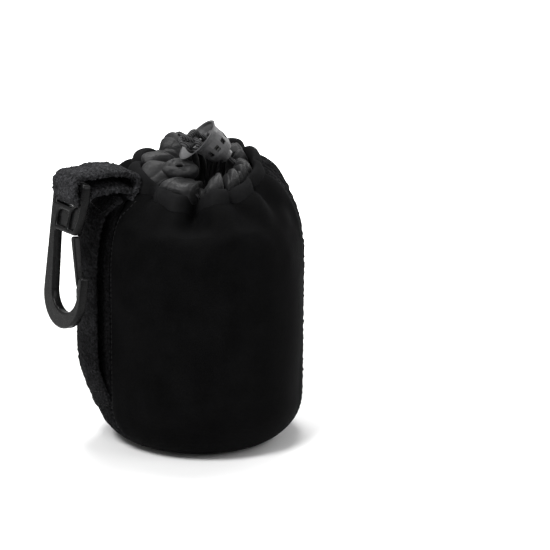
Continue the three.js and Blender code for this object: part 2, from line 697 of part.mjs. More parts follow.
const group = new THREE.Group();
group.name = 'lens_pouch';
[
  ...bodyPieces(),
  hemPiece(),
  collarPiece(),
  ...drawcordPieces(),
  ...lockPieces(),
  ...strapPieces(),
  ...hookPieces(),
].forEach((mesh) => group.add(mesh));

export default group;
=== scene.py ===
# The looks of a drawstring lens pouch: neoprene panels, a pile side band, a gathered satin collar with a
# drawcord and cord lock, a belt strap and a snap hook on a webbing loop. Metres, +Z up, the front at -Y, the
# strap at -X. Shapes are worked out in millimetres, as in the solids, and MM turns them to metres.

import bpy
import bmesh
import math
import numpy as np
from mathutils import Matrix, Vector


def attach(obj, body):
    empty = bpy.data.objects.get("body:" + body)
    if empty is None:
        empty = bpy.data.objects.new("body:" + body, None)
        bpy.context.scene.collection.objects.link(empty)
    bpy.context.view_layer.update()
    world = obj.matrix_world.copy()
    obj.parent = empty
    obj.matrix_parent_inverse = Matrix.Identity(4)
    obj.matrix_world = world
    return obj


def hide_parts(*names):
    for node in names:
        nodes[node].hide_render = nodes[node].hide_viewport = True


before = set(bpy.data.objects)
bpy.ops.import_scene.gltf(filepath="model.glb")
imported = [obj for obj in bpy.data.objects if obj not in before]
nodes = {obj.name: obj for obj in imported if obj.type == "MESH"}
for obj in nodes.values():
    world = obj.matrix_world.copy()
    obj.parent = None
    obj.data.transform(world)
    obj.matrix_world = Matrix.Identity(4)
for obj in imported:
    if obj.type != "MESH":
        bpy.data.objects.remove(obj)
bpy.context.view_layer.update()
scene = bpy.context.scene
scene.view_settings.view_transform = "Standard"

MM = 0.001
TINY = 1e-9
TURN = 2 * math.pi


def new_object(name, data):
    obj = bpy.data.objects.new(name, data)
    scene.collection.objects.link(obj)
    return obj


# Camera, at the photograph's angle

AIM = Vector((0, 0, 0.075))
AZIMUTH = math.radians(-14)
ELEVATION = math.radians(16)
DISTANCE = 1.15
SENSOR = 36

# Pixels of the photograph: the focal length, the side of the picture and where AIM lies in it
FOCAL_PIXELS = 2323
IMAGE = 550
AIM_PIXEL = (199.5, 287.4)


def make_camera():
    data = bpy.data.cameras.new("camera")
    camera = new_object("camera", data)
    level = math.cos(ELEVATION)
    toward = Vector((math.sin(AZIMUTH) * level, -math.cos(AZIMUTH) * level, math.sin(ELEVATION)))
    camera.location = AIM + toward * DISTANCE
    camera.rotation_euler = (-toward).to_track_quat("-Z", "Y").to_euler()
    data.sensor_width = SENSOR
    data.lens = FOCAL_PIXELS / IMAGE * SENSOR
    data.shift_x = (IMAGE / 2 - AIM_PIXEL[0]) / IMAGE
    data.shift_y = (AIM_PIXEL[1] - IMAGE / 2) / IMAGE
    data.clip_start = 0.01
    data.clip_end = 20
    scene.camera = camera


make_camera()

# Sizes of the solids

BODY_RADIUS = 51
BASE_RADIUS = 31
CORNER = 22
SHOULDER = 88
CREASE = 135.5
CREASE_RADIUS = 31
BAND_HALF = 14
BAND_PROUD = 0.8
BAND_FLARE = 4
GATHER_START = 100
LEAN = math.radians(12)
NECK_SHIFT = 6
HEM_MIDDLE = 28.1
HEM_THICK = 5.2
HEM_HEIGHT = 9
HEM_SINK = 3.2
CHANNEL_MIDDLE = 19.6
CHANNEL_HEIGHT = 137.6
BODY_MIDDLE = np.array([0, 0, 70])

# Lines and waves

WAVE_RATES = (0.6, 1.6)
CORNER_CUT = 0.25


def smooth(value, low, high):
    """0 up to low, 1 from high on, and a soft step between."""
    t = np.clip((value - low) / (high - low), 0, 1)
    return t * t * (3 - 2 * t)


def full_turn(steps):
    return np.linspace(0, TURN, steps, endpoint=False)


def unit(vectors):
    return vectors / np.maximum(np.linalg.norm(vectors, axis=-1, keepdims=True), TINY)


def waves(a, b, seed, scale, count=7):
    """Smooth seeded noise on two coordinates, about -1 to 1."""
    rng = np.random.default_rng(seed)
    total = np.zeros(np.broadcast(a, b).shape)
    for _ in range(count):
        angle = rng.uniform(0, TURN)
        rate = rng.uniform(*WAVE_RATES) * TURN / scale
        total += np.sin(rate * (a * math.cos(angle) + b * math.sin(angle)) + rng.uniform(0, TURN))
    return total / math.sqrt(count)


def lengths_along(points):
    """How far along its line each point is."""
    return np.concatenate([[0], np.cumsum(np.linalg.norm(np.diff(points, axis=0), axis=1))])


def even_line(points, steps):
    """The same line in even steps, and its length."""
    along = lengths_along(points)
    even = np.linspace(0, along[-1], steps)
    return np.stack([np.interp(even, along, column) for column in points.T], 1), along[-1]


def smooth_line(points, steps, roundings=4):
    """A line with its corners cut round, in even steps, and its length."""
    points = np.array(points, float)
    for _ in range(roundings):
        cut = [points[0]]
        for a, b in zip(points[:-1], points[1:]):
            cut += [a * (1 - CORNER_CUT) + b * CORNER_CUT, a * CORNER_CUT + b * (1 - CORNER_CUT)]
        cut.append(points[-1])
        points = np.array(cut)
    return even_line(points, steps)


# Gathering of the neck. Places round it are in degrees, 0 in front and plus to the right

FRONT_VALLEY = -18

# Creases: place, depth as a share, and the height at which the crease starts
CREASES = [(-146, 0.9, 108), (-105, 0.8, 112), (-64, 0.85, 118), (FRONT_VALLEY, 2.1, 120),
           (20.5, 0.85, 119), (50, 0.5, 117), (80, 0.3, 114), (112, 0.35, 110), (146, 0.6, 108),
           (180, 0.9, 106)]
SATIN_CREASES = [(-128, 1.1, 110), (-68, 1.3, 110), (FRONT_VALLEY, 1.6, 110), (14, 0.7, 110), (40, 0.8, 110),
                 (88, 0.8, 110), (132, 0.8, 110), (180, 1.0, 110)]

# How far the edge stands above or below an even ring: place and millimetres
HEM_LIFT = [(-180, -3), (-140, -3), (-110, -1), (-85, -1), (-59, -5), (-40, -8), (-20, -6.5), (0, -4),
            (32, -4), (65, 0), (90, 1.5), (120, 1.5), (150, -1)]
SATIN_LIFT = [(-180, 2), (-150, 3), (-130, 2), (-105, -1), (-85, -2), (-65, -4), (-45, -6), (-25, -5),
              (-4, -1.9), (18, -2.3), (60, -0.5), (100, 0), (150, 1)]

# How far the edge is spread outwards: place and millimetres
HEM_SPREAD = [(-180, 0), (-130, 1.5), (-105, 4), (-84, 4.8), (-62, 3.5), (-40, 0.8), (0, 0), (60, 0),
              (120, 0)]
SATIN_SPREAD = [(-180, 0), (-130, 2.5), (-100, 6.5), (-80, 7), (-55, 3.8), (-35, 1.5), (0, 0), (40, -0.5),
                (70, -1.5), (100, -1.5), (140, 0)]

VALLEY_SHARE = 0.19
VALLEY_RADIUS = 25
VALLEY_SHARPNESS = 1.5
LIFT_START = 108
FRONT_REACH = 16
FRONT_BLUNTING = 0.55
FRONT_STIFFNESS = 0.9


def around(table, blur=10):
    """A smooth closed curve through a table of degrees and millimetres, one value for each degree."""
    places, values = zip(*sorted((place % 360, value) for place, value in table))
    row = np.interp(np.arange(360), places, values, period=360)
    kernel = np.hanning(2 * blur + 1)
    return np.convolve(np.concatenate([row[-blur:], row, row[:blur]]), kernel / kernel.sum(), "valid")


def read_around(row, degrees):
    return np.interp(degrees % 360, np.arange(361), np.append(row, row[0]))


def crease_share(phi, creases):
    """Share of the way from one crease to the next, with the depth, the start and the width there."""
    places, depths, starts = np.array(creases + [creases[0]], float).T
    places[-1] += 360
    turn = (np.degrees(phi) - places[0]) % 360 + places[0]
    i = np.clip(np.searchsorted(places, turn, side="right") - 1, 0, len(creases) - 1)
    width = places[i + 1] - places[i]
    share = (turn - places[i]) / width
    ease = share ** 2 * (3 - 2 * share)
    depth = depths[i] * (1 - ease) + depths[i + 1] * ease
    start = starts[i] * (1 - ease) + starts[i + 1] * ease
    return share, depth, start, width


def nearness(share):
    """1 at a crease and 0 halfway to the next."""
    return (1 + np.cos(TURN * share)) / 2


HEM_GATHER = {"creases": CREASES, "lift": around(HEM_LIFT), "spread": around(HEM_SPREAD), "roll": 0.45,
              "fall": 3.5, "shift": NECK_SHIFT}
BODY_GATHER = {**HEM_GATHER, "roll": 0.35}
SATIN_GATHER = {"creases": SATIN_CREASES, "lift": around(SATIN_LIFT), "spread": around(SATIN_SPREAD),
                "roll": 0.85, "fall": 4.6, "shift": 8.5}


def gather(x, y, z, creases, lift, spread, roll, fall, shift):
    """Points of the even neck after gathering: lobes that swell over the creases between them."""
    radius = np.hypot(x, y)
    phi = np.arctan2(x, -y)
    share, depth, start, width = crease_share(phi, creases)
    front = np.exp(-((np.degrees(phi) - FRONT_VALLEY) / FRONT_REACH) ** 2)
    valley = nearness(share) ** (VALLEY_SHARPNESS - FRONT_BLUNTING * front) * depth
    drawn = smooth(z, start, CREASE)
    full = smooth(z, GATHER_START, CREASE)
    near = np.minimum(1, radius / VALLEY_RADIUS)
    swell = drawn * roll * (1 - FRONT_STIFFNESS * front)
    phi = phi - swell * np.radians(width) / TURN * np.sin(TURN * share)
    degrees = np.degrees(phi)
    over = shift * np.maximum(0, 1 - radius / CREASE_RADIUS)
    radius = radius * (1 - VALLEY_SHARE * near * valley * drawn) + read_around(spread, degrees) * drawn * near
    x = radius * np.sin(phi) + over * full
    y = -radius * np.cos(phi)
    level = read_around(lift, degrees) * smooth(z, LIFT_START, CREASE)
    z = z + y * math.sin(LEAN) * full - fall * valley * drawn + level
    return np.stack([x, y, z], -1)


def gather_round(radius, phi, z, how):
    return gather(radius * np.sin(phi), -radius * np.cos(phi), z + 0 * phi, **how)


# Meshes over grids of points

def mesh_object(name, points, faces, recalculate=True):
    """A smooth mesh from points in millimetres."""
    mesh = bpy.data.meshes.new(name)
    mesh.from_pydata([tuple(v) for v in np.array(points) * MM], [], faces)
    if recalculate:
        bm = bmesh.new()
        bm.from_mesh(mesh)
        bmesh.ops.recalc_face_normals(bm, faces=bm.faces)
        bm.to_mesh(mesh)
        bm.free()
    mesh.polygons.foreach_set("use_smooth", [True] * len(mesh.polygons))
    return new_object(name, mesh)


def grid_faces(rows, cols, closed_up=False, closed=False):
    faces = []
    for r in range(rows if closed_up else rows - 1):
        for c in range(cols if closed else cols - 1):
            here, there = r * cols, (r + 1) % rows * cols
            d = (c + 1) % cols
            faces.append((here + c, here + d, there + d, there + c))
    return faces


def grid_normals(p, closed=False):
    du = np.gradient(p, axis=1)
    if closed:
        du = (np.roll(p, -1, axis=1) - np.roll(p, 1, axis=1)) / 2
    return unit(np.cross(du, np.gradient(p, axis=0)))


def outward(p, middle, closed=False):
    n = grid_normals(p, closed)
    return -n if np.sum(n * (p - middle)) < 0 else n


def rim_faces(line, size, closed, flip):
    """Faces between a line of the front and the same line of the back."""
    line = [*line, line[0]] if closed else line
    faces = [(a, b, b + size, a + size) for a, b in zip(line[:-1], line[1:])]
    return [tuple(reversed(face)) for face in faces] if flip else faces


def sheet_object(name, p, thick, closed=False):
    """A sheet over a grid, closed round or not, with its back pushed in by its thickness."""
    rows, cols = p.shape[:2]
    size, top = rows * cols, (rows - 1) * cols
    face = p.reshape(-1, 3)
    back = face - grid_normals(p, closed).reshape(-1, 3) * thick
    faces = grid_faces(rows, cols, closed=closed)
    faces += [tuple(size + i for i in reversed(f)) for f in faces]
    faces += rim_faces(range(cols), size, closed, flip=True)
    faces += rim_faces(range(top, size), size, closed, flip=False)
    if not closed:
        faces += rim_faces(range(0, size, cols), size, False, flip=False)
        faces += rim_faces(range(cols - 1, size, cols), size, False, flip=True)
    return mesh_object(name, np.concatenate([face, back]), faces)


def ring_object(name, p):
    """A body over a grid that closes both ways."""
    rows, cols = p.shape[:2]
    return mesh_object(name, p.reshape(-1, 3), grid_faces(rows, cols, True, True))


def strip_object(name, p):
    """A body over a grid that closes across, with its two ends filled."""
    rows, cols = p.shape[:2]
    faces = grid_faces(rows, cols, closed=True)
    faces.append(tuple(range(cols)))
    faces.append(tuple((rows - 1) * cols + c for c in reversed(range(cols))))
    return mesh_object(name, p.reshape(-1, 3), faces)


# Materials. Distances of bump and scales of noise are in metres and turns per metre

def grey(value):
    return (value, value, value * 1.04)


def set_inputs(node, values):
    for key, value in values.items():
        node.inputs[key].default_value = value


def material(name, base, rough, spec=0.5, metal=0.0):
    mat = bpy.data.materials.new(name)
    mat.use_nodes = True
    shader = mat.node_tree.nodes["Principled BSDF"]
    set_inputs(shader, {"Base Color": (*base, 1), "Roughness": rough, "Specular IOR Level": spec,
                        "Metallic": metal})
    return mat, mat.node_tree, shader


def add(tree, kind, **values):
    node = tree.nodes.new(kind)
    for key, value in values.items():
        if hasattr(node, key):
            setattr(node, key, value)
        else:
            node.inputs[key].default_value = value
    return node


def ramp(tree, source, low, high, positions=(0.3, 0.7)):
    node = add(tree, "ShaderNodeValToRGB")
    for element, position, colour in zip(node.color_ramp.elements, positions, (low, high)):
        element.position = position
        element.color = (*colour, 1)
    tree.links.new(source.outputs["Fac"], node.inputs[0])
    return node


def vary(tree, shader, socket, source, low, high, positions=(0.3, 0.7)):
    """A socket of the shader that follows a pattern from low to high."""
    node = ramp(tree, source, low, high, positions)
    tree.links.new(node.outputs["Color"], shader.inputs[socket])


def noise(tree, scale, detail=3, rough=0.6):
    coords = add(tree, "ShaderNodeTexCoord")
    node = add(tree, "ShaderNodeTexNoise", Scale=scale, Detail=detail, Roughness=rough)
    tree.links.new(coords.outputs["Object"], node.inputs["Vector"])
    return node


def bump(tree, shader, source, strength, distance, before=None):
    node = add(tree, "ShaderNodeBump", Strength=strength, Distance=distance)
    tree.links.new(source.outputs["Fac"], node.inputs["Height"])
    if before:
        tree.links.new(before.outputs["Normal"], node.inputs["Normal"])
    tree.links.new(node.outputs["Normal"], shader.inputs["Normal"])
    return node


def map_range(tree, source, start, end, low=0.0, high=1.0):
    """A value that goes from low to high as its source goes from start to end."""
    node = add(tree, "ShaderNodeMapRange")
    set_inputs(node, {"From Min": start, "From Max": end, "To Min": low, "To Max": high})
    tree.links.new(source, node.inputs["Value"])
    return node.outputs["Result"]


def combine(tree, operation, first, second):
    node = add(tree, "ShaderNodeMath", operation=operation)
    tree.links.new(first, node.inputs[0])
    tree.links.new(second, node.inputs[1])
    return node.outputs[0]


def sheen(shader, weight, rough, tint=(1, 1, 1)):
    set_inputs(shader, {"Sheen Weight": weight, "Sheen Roughness": rough, "Sheen Tint": (*tint, 1)})


def neoprene_material(name="neoprene", level=1.0):
    mat, tree, shader = material(name, grey(0.003), rough=0.7, spec=0.016)
    knit = noise(tree, scale=1500, detail=2, rough=0.5)
    cloud = noise(tree, scale=60, detail=4)
    # A level above 1 paints a lighter copy of the colour, as on the hem, whose lightness is painted light.
    vary(tree, shader, "Base Color", cloud, grey(0.0014 * level), grey(0.0034 * level))
    vary(tree, shader, "Roughness", cloud, (0.70,) * 3, (0.86,) * 3)
    first = bump(tree, shader, knit, strength=0.35, distance=0.0003)
    bump(tree, shader, cloud, strength=0.25, distance=0.0012, before=first)
    sheen(shader, weight=0.012, rough=0.4, tint=(0.6, 0.62, 0.66))
    return mat


def pile_material(name="pile", low=0.0012, high=0.034, shine=0.02):
    mat, tree, shader = material(name, grey(0.006), rough=0.95, spec=0.06)
    fuzz = noise(tree, scale=900, detail=5, rough=0.75)
    clump = noise(tree, scale=210, detail=4, rough=0.7)
    mix = add(tree, "ShaderNodeMix", data_type="RGBA", blend_type="MULTIPLY")
    mix.inputs[0].default_value = 1.0
    tree.links.new(ramp(tree, fuzz, grey(low), grey(high), (0.42, 0.72)).outputs["Color"], mix.inputs[6])
    tree.links.new(ramp(tree, clump, grey(0.25), grey(1.0), (0.35, 0.65)).outputs["Color"], mix.inputs[7])
    tree.links.new(mix.outputs[2], shader.inputs["Base Color"])
    first = bump(tree, shader, fuzz, strength=0.9, distance=0.0009)
    bump(tree, shader, clump, strength=0.8, distance=0.002, before=first)
    sheen(shader, weight=shine, rough=0.6, tint=(0.5, 0.51, 0.53))
    return mat


def satin_material():
    mat, tree, shader = material("satin", grey(0.012), rough=0.5, spec=0.17)
    crease = noise(tree, scale=130, detail=4, rough=0.55)
    weave = noise(tree, scale=2600, detail=2, rough=0.5)
    vary(tree, shader, "Base Color", crease, grey(0.0085), grey(0.017))
    vary(tree, shader, "Roughness", crease, (0.44,) * 3, (0.6,) * 3)
    first = bump(tree, shader, weave, strength=0.12, distance=0.0002)
    bump(tree, shader, crease, strength=0.45, distance=0.003, before=first)
    shader.inputs["Anisotropic"].default_value = 0.5
    sheen(shader, weight=0.05, rough=0.35)
    return mat


def cord_material():
    mat, tree, shader = material("braided_cord", grey(0.006), rough=0.75, spec=0.12)
    coords = add(tree, "ShaderNodeTexCoord")
    braid = add(tree, "ShaderNodeTexWave", wave_type="BANDS", bands_direction="DIAGONAL", Scale=420,
                Distortion=1.5)
    tree.links.new(coords.outputs["Object"], braid.inputs["Vector"])
    vary(tree, shader, "Base Color", braid, grey(0.008), grey(0.07), (0.2, 0.8))
    bump(tree, shader, braid, strength=0.6, distance=0.0006)
    sheen(shader, weight=0.03, rough=0.5)
    return mat


def plastic_material(name, base, rough, spec=0.55):
    mat, tree, shader = material(name, base, rough, spec)
    cloud = noise(tree, scale=240)
    grain = noise(tree, scale=1800, detail=2, rough=0.5)
    vary(tree, shader, "Base Color", cloud, tuple(v * 0.85 for v in base), tuple(v * 1.15 for v in base))
    vary(tree, shader, "Roughness", cloud, (rough - 0.06,) * 3, (rough + 0.08,) * 3)
    first = bump(tree, shader, grain, strength=0.10, distance=0.0002)
    bump(tree, shader, cloud, strength=0.12, distance=0.001, before=first)
    return mat


def steel_material():
    mat, tree, shader = material("spring_steel", (0.4, 0.4, 0.39), rough=0.35, spec=0.5, metal=1.0)
    bump(tree, shader, noise(tree, scale=900, detail=2, rough=0.5), strength=0.15, distance=0.0002)
    return mat


def thread_material():
    mat, tree, shader = material("thread", grey(0.006), rough=0.6, spec=0.15)
    twist = noise(tree, scale=2400, detail=2, rough=0.5)
    vary(tree, shader, "Base Color", twist, grey(0.003), grey(0.012))
    bump(tree, shader, twist, strength=0.5, distance=0.0002)
    return mat


NEOPRENE = neoprene_material()
# The hem is the neoprene painted 3.2 times lighter: painted light for the hem's top, which faces the lamps.
HEM = neoprene_material("hem_neoprene_painted_light", level=3.2)
PILE = pile_material()
# The hanger loop is the pile painted about 2.5 times lighter: painted light for the loop's lit top.
WEB = pile_material("webbing_pile_painted_light", low=0.003, high=0.085, shine=0.05)
# The side band is the pile painted darker: painted shade for the shade beside the strap and the seam.
BAND = pile_material("band_pile_painted_shade", low=0.001, high=0.022, shine=0.012)
SATIN = satin_material()
CORD = cord_material()
LOCK = plastic_material("lock_plastic", grey(0.046), 0.45)
HOOK = plastic_material("hook_plastic", grey(0.0035), 0.26, spec=0.105)
STEEL = steel_material()
THREAD = thread_material()


def dress(obj, mat, body, slot, *replaced):
    """Gives a new piece its material and its body, and hides the nodes that it stands for. The slot is not
    used.
    """
    obj.data.materials.clear()
    obj.data.materials.append(mat)
    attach(obj, body)
    if replaced:
        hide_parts(*replaced)
    return obj


# Body: two panels and a band, over rows that go up the outside

ROWS = 190
PANEL_COLS = 190
BAND_COLS = 44
CLOTH_THICK = 1.6
PANEL_GAP = 0.4
CORNER_STEPS = 60
SHOULDER_STEPS = 80
EDGE_CROWDING = 0.85
FRONT_SEED = 3
BACK_SEED = 11

# Roll and puff at the seams, soft waves, and folds: size, reach or scale, and the heights and the distances
# from the seam over which each comes in
SEAM_ROLL, SEAM_ROLL_REACH, ROLL_ON_BASE = 1.7, 1.9, 0.25
PUFF, PUFF_PLACE, PUFF_REACH = 0.5, 5, 3.5
ABOVE_BASE = (1, 14)
SOFT, SOFT_SCALE, SOFT_HEIGHTS, SOFT_EDGES = 0.30, 46, (8, 30), (2, 12)
FOLD, FOLD_SCALE, FOLD_HEIGHTS, FOLD_EDGES = 0.35, 22, (84, 118), (1, 8)
FOLD_ACROSS, FOLD_UP, FOLD_SEED = 1.6, 0.55, 5

# The same for the band's roll and its fuzz
BAND_ROLL, BAND_ROLL_REACH, BAND_HEIGHTS = 1.5, 1.7, (1, 10)
FUZZ, FUZZ_SCALE, FUZZ_EDGES, FUZZ_WAVES, FUZZ_SEED = 0.35, 3, (0, 3), 14, 21


def profile(proud=0, low=0):
    """Rows of radius and height up the outside, evenly spaced, from a radius on the base to the crease."""
    points = [(low, 0)]
    for i in range(CORNER_STEPS):
        turn = i / CORNER_STEPS * math.pi / 2
        reach = (BODY_RADIUS + proud - BASE_RADIUS) * math.sin(turn)
        points.append((BASE_RADIUS + reach, CORNER - CORNER * math.cos(turn)))
    for i in range(SHOULDER_STEPS + 1):
        turn = i / SHOULDER_STEPS * math.pi / 2
        reach = (BODY_RADIUS + proud - CREASE_RADIUS) * math.cos(turn)
        points.append((CREASE_RADIUS + reach, SHOULDER + (CREASE + proud - SHOULDER) * math.sin(turn)))
    rows, _ = even_line(np.array(points), ROWS)
    return rows[:, :1], rows[:, 1:]


def band_half(z):
    return BAND_HALF + BAND_FLARE * np.maximum(0, 1 - z / CORNER)


def band_angle(radius, z):
    upright = np.arcsin(np.clip(band_half(z) / np.maximum(radius, TINY), 0, 1))
    return np.where(z > SHOULDER, math.asin(BAND_HALF / BODY_RADIUS), upright)


def panel_points(middle, seed):
    """A panel that rolls in at its seams, with soft waves and folds, and its normals."""
    radius, z = profile(low=BAND_HALF + BAND_FLARE + PANEL_GAP)
    reach = math.pi / 2 - band_angle(radius, z)
    u = np.linspace(-1, 1, PANEL_COLS)[None, :]
    u = np.sign(u) * np.abs(u) ** EDGE_CROWDING
    phi = middle + u * reach
    p = gather_round(radius, phi, z, BODY_GATHER)
    n = outward(p, BODY_MIDDLE)
    edge = (1 - np.abs(u)) * reach * radius
    above_base = smooth(z, *ABOVE_BASE)
    along = phi * BODY_RADIUS
    roll = -SEAM_ROLL * np.exp(-(edge / SEAM_ROLL_REACH) ** 2)
    roll = roll * (ROLL_ON_BASE + (1 - ROLL_ON_BASE) * above_base)
    puff = PUFF * np.exp(-((edge - PUFF_PLACE) / PUFF_REACH) ** 2) * above_base
    soft = SOFT * waves(along, z, seed, SOFT_SCALE) * smooth(z, *SOFT_HEIGHTS) * smooth(edge, *SOFT_EDGES)
    folds = FOLD * waves(along * FOLD_ACROSS, z * FOLD_UP, seed + FOLD_SEED, FOLD_SCALE)
    folds = folds * smooth(z, *FOLD_HEIGHTS) * smooth(edge, *FOLD_EDGES)
    return p + n * (roll + puff + soft + folds)[..., None], n


def make_panel(name, middle, seed, node):
    p, _ = panel_points(middle, seed)
    return dress(sheet_object(name, p, CLOTH_THICK), NEOPRENE, "pouch", "neoprene", node)


def band_side(side):
    """Half of the band, from the middle of the base up one side."""
    radius, z = profile(BAND_PROUD)
    w = np.linspace(-1, 1, BAND_COLS)[None, :]
    y = w * np.where(z > SHOULDER, radius * BAND_HALF / BODY_RADIUS, band_half(z))
    phi = np.arcsin(np.clip(y / np.maximum(radius, TINY), -1, 1))
    x = np.where(radius < np.abs(y), 0, side * radius * np.cos(phi))
    return gather(x, y, z + 0 * y, **BODY_GATHER)


def make_band():
    """One strip down the left side, under the base and up the right side."""
    p = np.concatenate([band_side(-1)[::-1], band_side(1)[1:]], 0)
    n = outward(p, BODY_MIDDLE)
    edge = (1 - np.abs(np.linspace(-1, 1, BAND_COLS)[None, :])) * BAND_HALF
    x, y, z = np.moveaxis(p, 2, 0)
    fuzz = FUZZ * waves(y, z + x, FUZZ_SEED, FUZZ_SCALE, FUZZ_WAVES) * smooth(edge, *FUZZ_EDGES)
    roll = -BAND_ROLL * np.exp(-(edge / BAND_ROLL_REACH) ** 2)
    p = p + n * ((roll + fuzz) * smooth(z, *BAND_HEIGHTS))[..., None]
    return dress(sheet_object("band_pile", p, CLOTH_THICK), BAND, "pouch", "pile", "side_band")


front = make_panel("front_neoprene", 0.0, FRONT_SEED, "front_panel")
back = make_panel("back_neoprene", math.pi, BACK_SEED, "back_panel")
band = make_band()

# Neck: the hem

HEM_COLS = 540
HEM_STEPS = 32
HEM_PROUD = 0.9
HEM_DROP = 0.6
HEM_SLANT = 0.22
HEM_SQUARENESS = 0.85
HEM_TALLER = 1.08
HEM_WRINKLE = 0.22
STITCH_ROW = 29
LOBE_BLUNTNESS = 1.5

# Thickness and height of the hem at a crease, as shares, and what a lobe adds
CREASE_THICK, LOBE_THICK = 0.85, 0.30
CREASE_TALL, LOBE_TALL = 0.90, 0.12


def hem_points():
    """A soft rolled edge that leans in and is flush with the body below it."""
    phi = full_turn(HEM_COLS)[None, :]
    t = full_turn(HEM_STEPS)[:, None]
    lobe = 1 - nearness(crease_share(phi, CREASES)[0]) ** LOBE_BLUNTNESS
    out = np.sign(np.cos(t)) * np.abs(np.cos(t)) ** HEM_SQUARENESS
    up = HEM_HEIGHT / 2 * HEM_TALLER * np.sin(t)
    half = HEM_THICK / 2 * (CREASE_THICK + LOBE_THICK * lobe)
    radius = HEM_MIDDLE + HEM_PROUD + half * out - HEM_SLANT * up
    level = CREASE - HEM_SINK + HEM_HEIGHT / 2 - HEM_DROP
    z = level + up * (CREASE_TALL + LOBE_TALL * lobe)
    wrinkle = HEM_WRINKLE * waves(np.degrees(phi) + 0 * t, z, seed=41, scale=18) * (out > 0)
    return gather_round(radius + wrinkle, phi, z, HEM_GATHER)


hem_grid = hem_points()
hem = dress(ring_object("neck_hem", hem_grid), HEM, "pouch", "hem", "top_hem")

# Stitches: rows of short raised threads

STITCH_SIDES = 6
SEAM_COLUMN = 6
SEAM_ROWS = slice(8, -6)

# Along one stitch: share of its length, share of its thickness, and lift in millimetres
STITCH_SHARES = [(-0.5, 0.3, -0.2), (-0.36, 0.9, 0.08), (0, 1.0, 0.14), (0.36, 0.9, 0.08), (0.5, 0.3, -0.2)]


def stitch(spine, up, thickness, base):
    """Points and faces of one stitch, whose first point has the number base."""
    side = np.cross(unit(spine[-1] - spine[0]), up)
    verts = []
    for place, (_, fat, lift) in zip(spine, STITCH_SHARES):
        for j in range(STITCH_SIDES):
            turn = j / STITCH_SIDES * TURN
            spoke = side * math.cos(turn) + up * math.sin(turn)
            verts.append(place + up * lift + spoke * fat * thickness / 2)
    faces = grid_faces(len(spine), STITCH_SIDES, closed=True)
    faces.append(tuple(reversed(range(STITCH_SIDES))))
    faces.append(tuple(len(verts) - STITCH_SIDES + j for j in range(STITCH_SIDES)))
    return verts, [tuple(base + i for i in face) for face in faces]


def stitches(name, lines, slot, pitch=2.6, length=1.8, thickness=0.42):
    """One piece of all the stitches along lines of points and normals."""
    verts, faces = [], []
    for points, normals in lines:
        along = lengths_along(points)
        for k in range(int(along[-1] / pitch)):
            middle = (k + 0.5) * pitch
            spine = [np.array([np.interp(middle + share * length, along, column) for column in points.T])
                     for share, _, _ in STITCH_SHARES]
            up = np.array([np.interp(middle, along, column) for column in normals.T])
            more, sides = stitch(spine, unit(up), thickness, len(verts))
            verts += more
            faces += sides
    return dress(mesh_object(name, verts, faces, recalculate=False), THREAD, "pouch", slot)


def seam_lines(middle, seed):
    """Lines down both edges of a panel, beside its seam."""
    p, n = panel_points(middle, seed)
    return [(p[SEAM_ROWS, j], n[SEAM_ROWS, j]) for j in (SEAM_COLUMN, PANEL_COLS - 1 - SEAM_COLUMN)]


hem_line = np.concatenate([hem_grid[STITCH_ROW], hem_grid[STITCH_ROW][:1]])
stitches("hem_stitches", [(hem_line, hem_line * np.array([1, 1, 0]))], "hem")
stitches("front_seam_stitches", seam_lines(0.0, FRONT_SEED), "neoprene")
stitches("back_seam_stitches", seam_lines(math.pi, BACK_SEED), "neoprene")

# Neck: the satin

SATIN_COLS = 900
SATIN_STEPS = 72
SATIN_THICK = 0.5
SATIN_MIDDLE = 26
SATIN_IN_HEM = 1.6
SATIN_LEAST = 5
SATIN_LOBE, SATIN_SUNK, SATIN_BLUNTNESS = 0.4, 0.8, 1.2
PLEAT_WANDER, PLEAT_TURNS = 1.5, 9
PLEAT_WIDTH, PLEAT_WIDENING = 1.3, 0.7
PLEAT_OUTSIDE, PLEAT_INSIDE = 1.2, 1.5
CRUMPLE, CRUMPLE_RUN, CRUMPLE_EASE = 0.5, 34, 0.5
RIDGE_LEVEL, RIDGE_RUN, RIDGE_SLANT = 0.6, 24, 9
WANDER, WANDER_RUN = 0.35, 30
FOLD_WIDTH, FOLD_OUTSIDE, FOLD_INSIDE = 11.25, 0.35, 0.75

# Shares of the way along the section over which the satin is freed, moves and turns inside
FREED, RISING, INSIDE = (0.10, 0.33), (0.05, 0.3), (0.35, 0.75)

# The satin in section, from inside the hem over the drawcord and down into the mouth: radius and height
SATIN_SECTION = [(26.0, 127), (27.0, 131), (27.0, 134.5), (26.4, 138), (24.8, 141.2), (22.4, 143.0),
                 (19.4, 143.4), (16.0, 142.4), (13.0, 140.4), (10.6, 137.2), (9.2, 133.0), (8.2, 128),
                 (7.6, 124)]

# Pleats: place in degrees, and depth as a share
PLEATS = [(-172, 0.8), (-163, 1.2), (-154, 0.9), (-146, 1.3), (-137, 0.8), (-119, 0.9), (-111, 2.2),
          (-99, 2.4), (-86, 1.0), (-77, 0.8), (-59, 0.5), (-49, 0.7), (-36, 0.6), (-28, 0.9), (-10, 0.8),
          (-2, 0.5), (16, 0.9), (24, 1.0), (44, 0.9), (52, 1.1), (61, 1.3), (70, 0.9), (79, 0.8), (95, 1.0),
          (106, 0.7), (118, 1.0), (125, 0.8), (141, 0.8), (152, 1.0), (160, 0.7), (171, 1.0)]


def pleat_depth(degrees, t):
    """Narrow pleats that wander a little on their way over the satin."""
    total = np.zeros_like(degrees)
    for place, depth in PLEATS:
        away = (degrees - place + 180) % 360 - 180 + PLEAT_WANDER * np.sin(t * PLEAT_TURNS + place)
        total = total + depth * np.exp(-np.abs(away) / (PLEAT_WIDTH + PLEAT_WIDENING * depth))
    return total


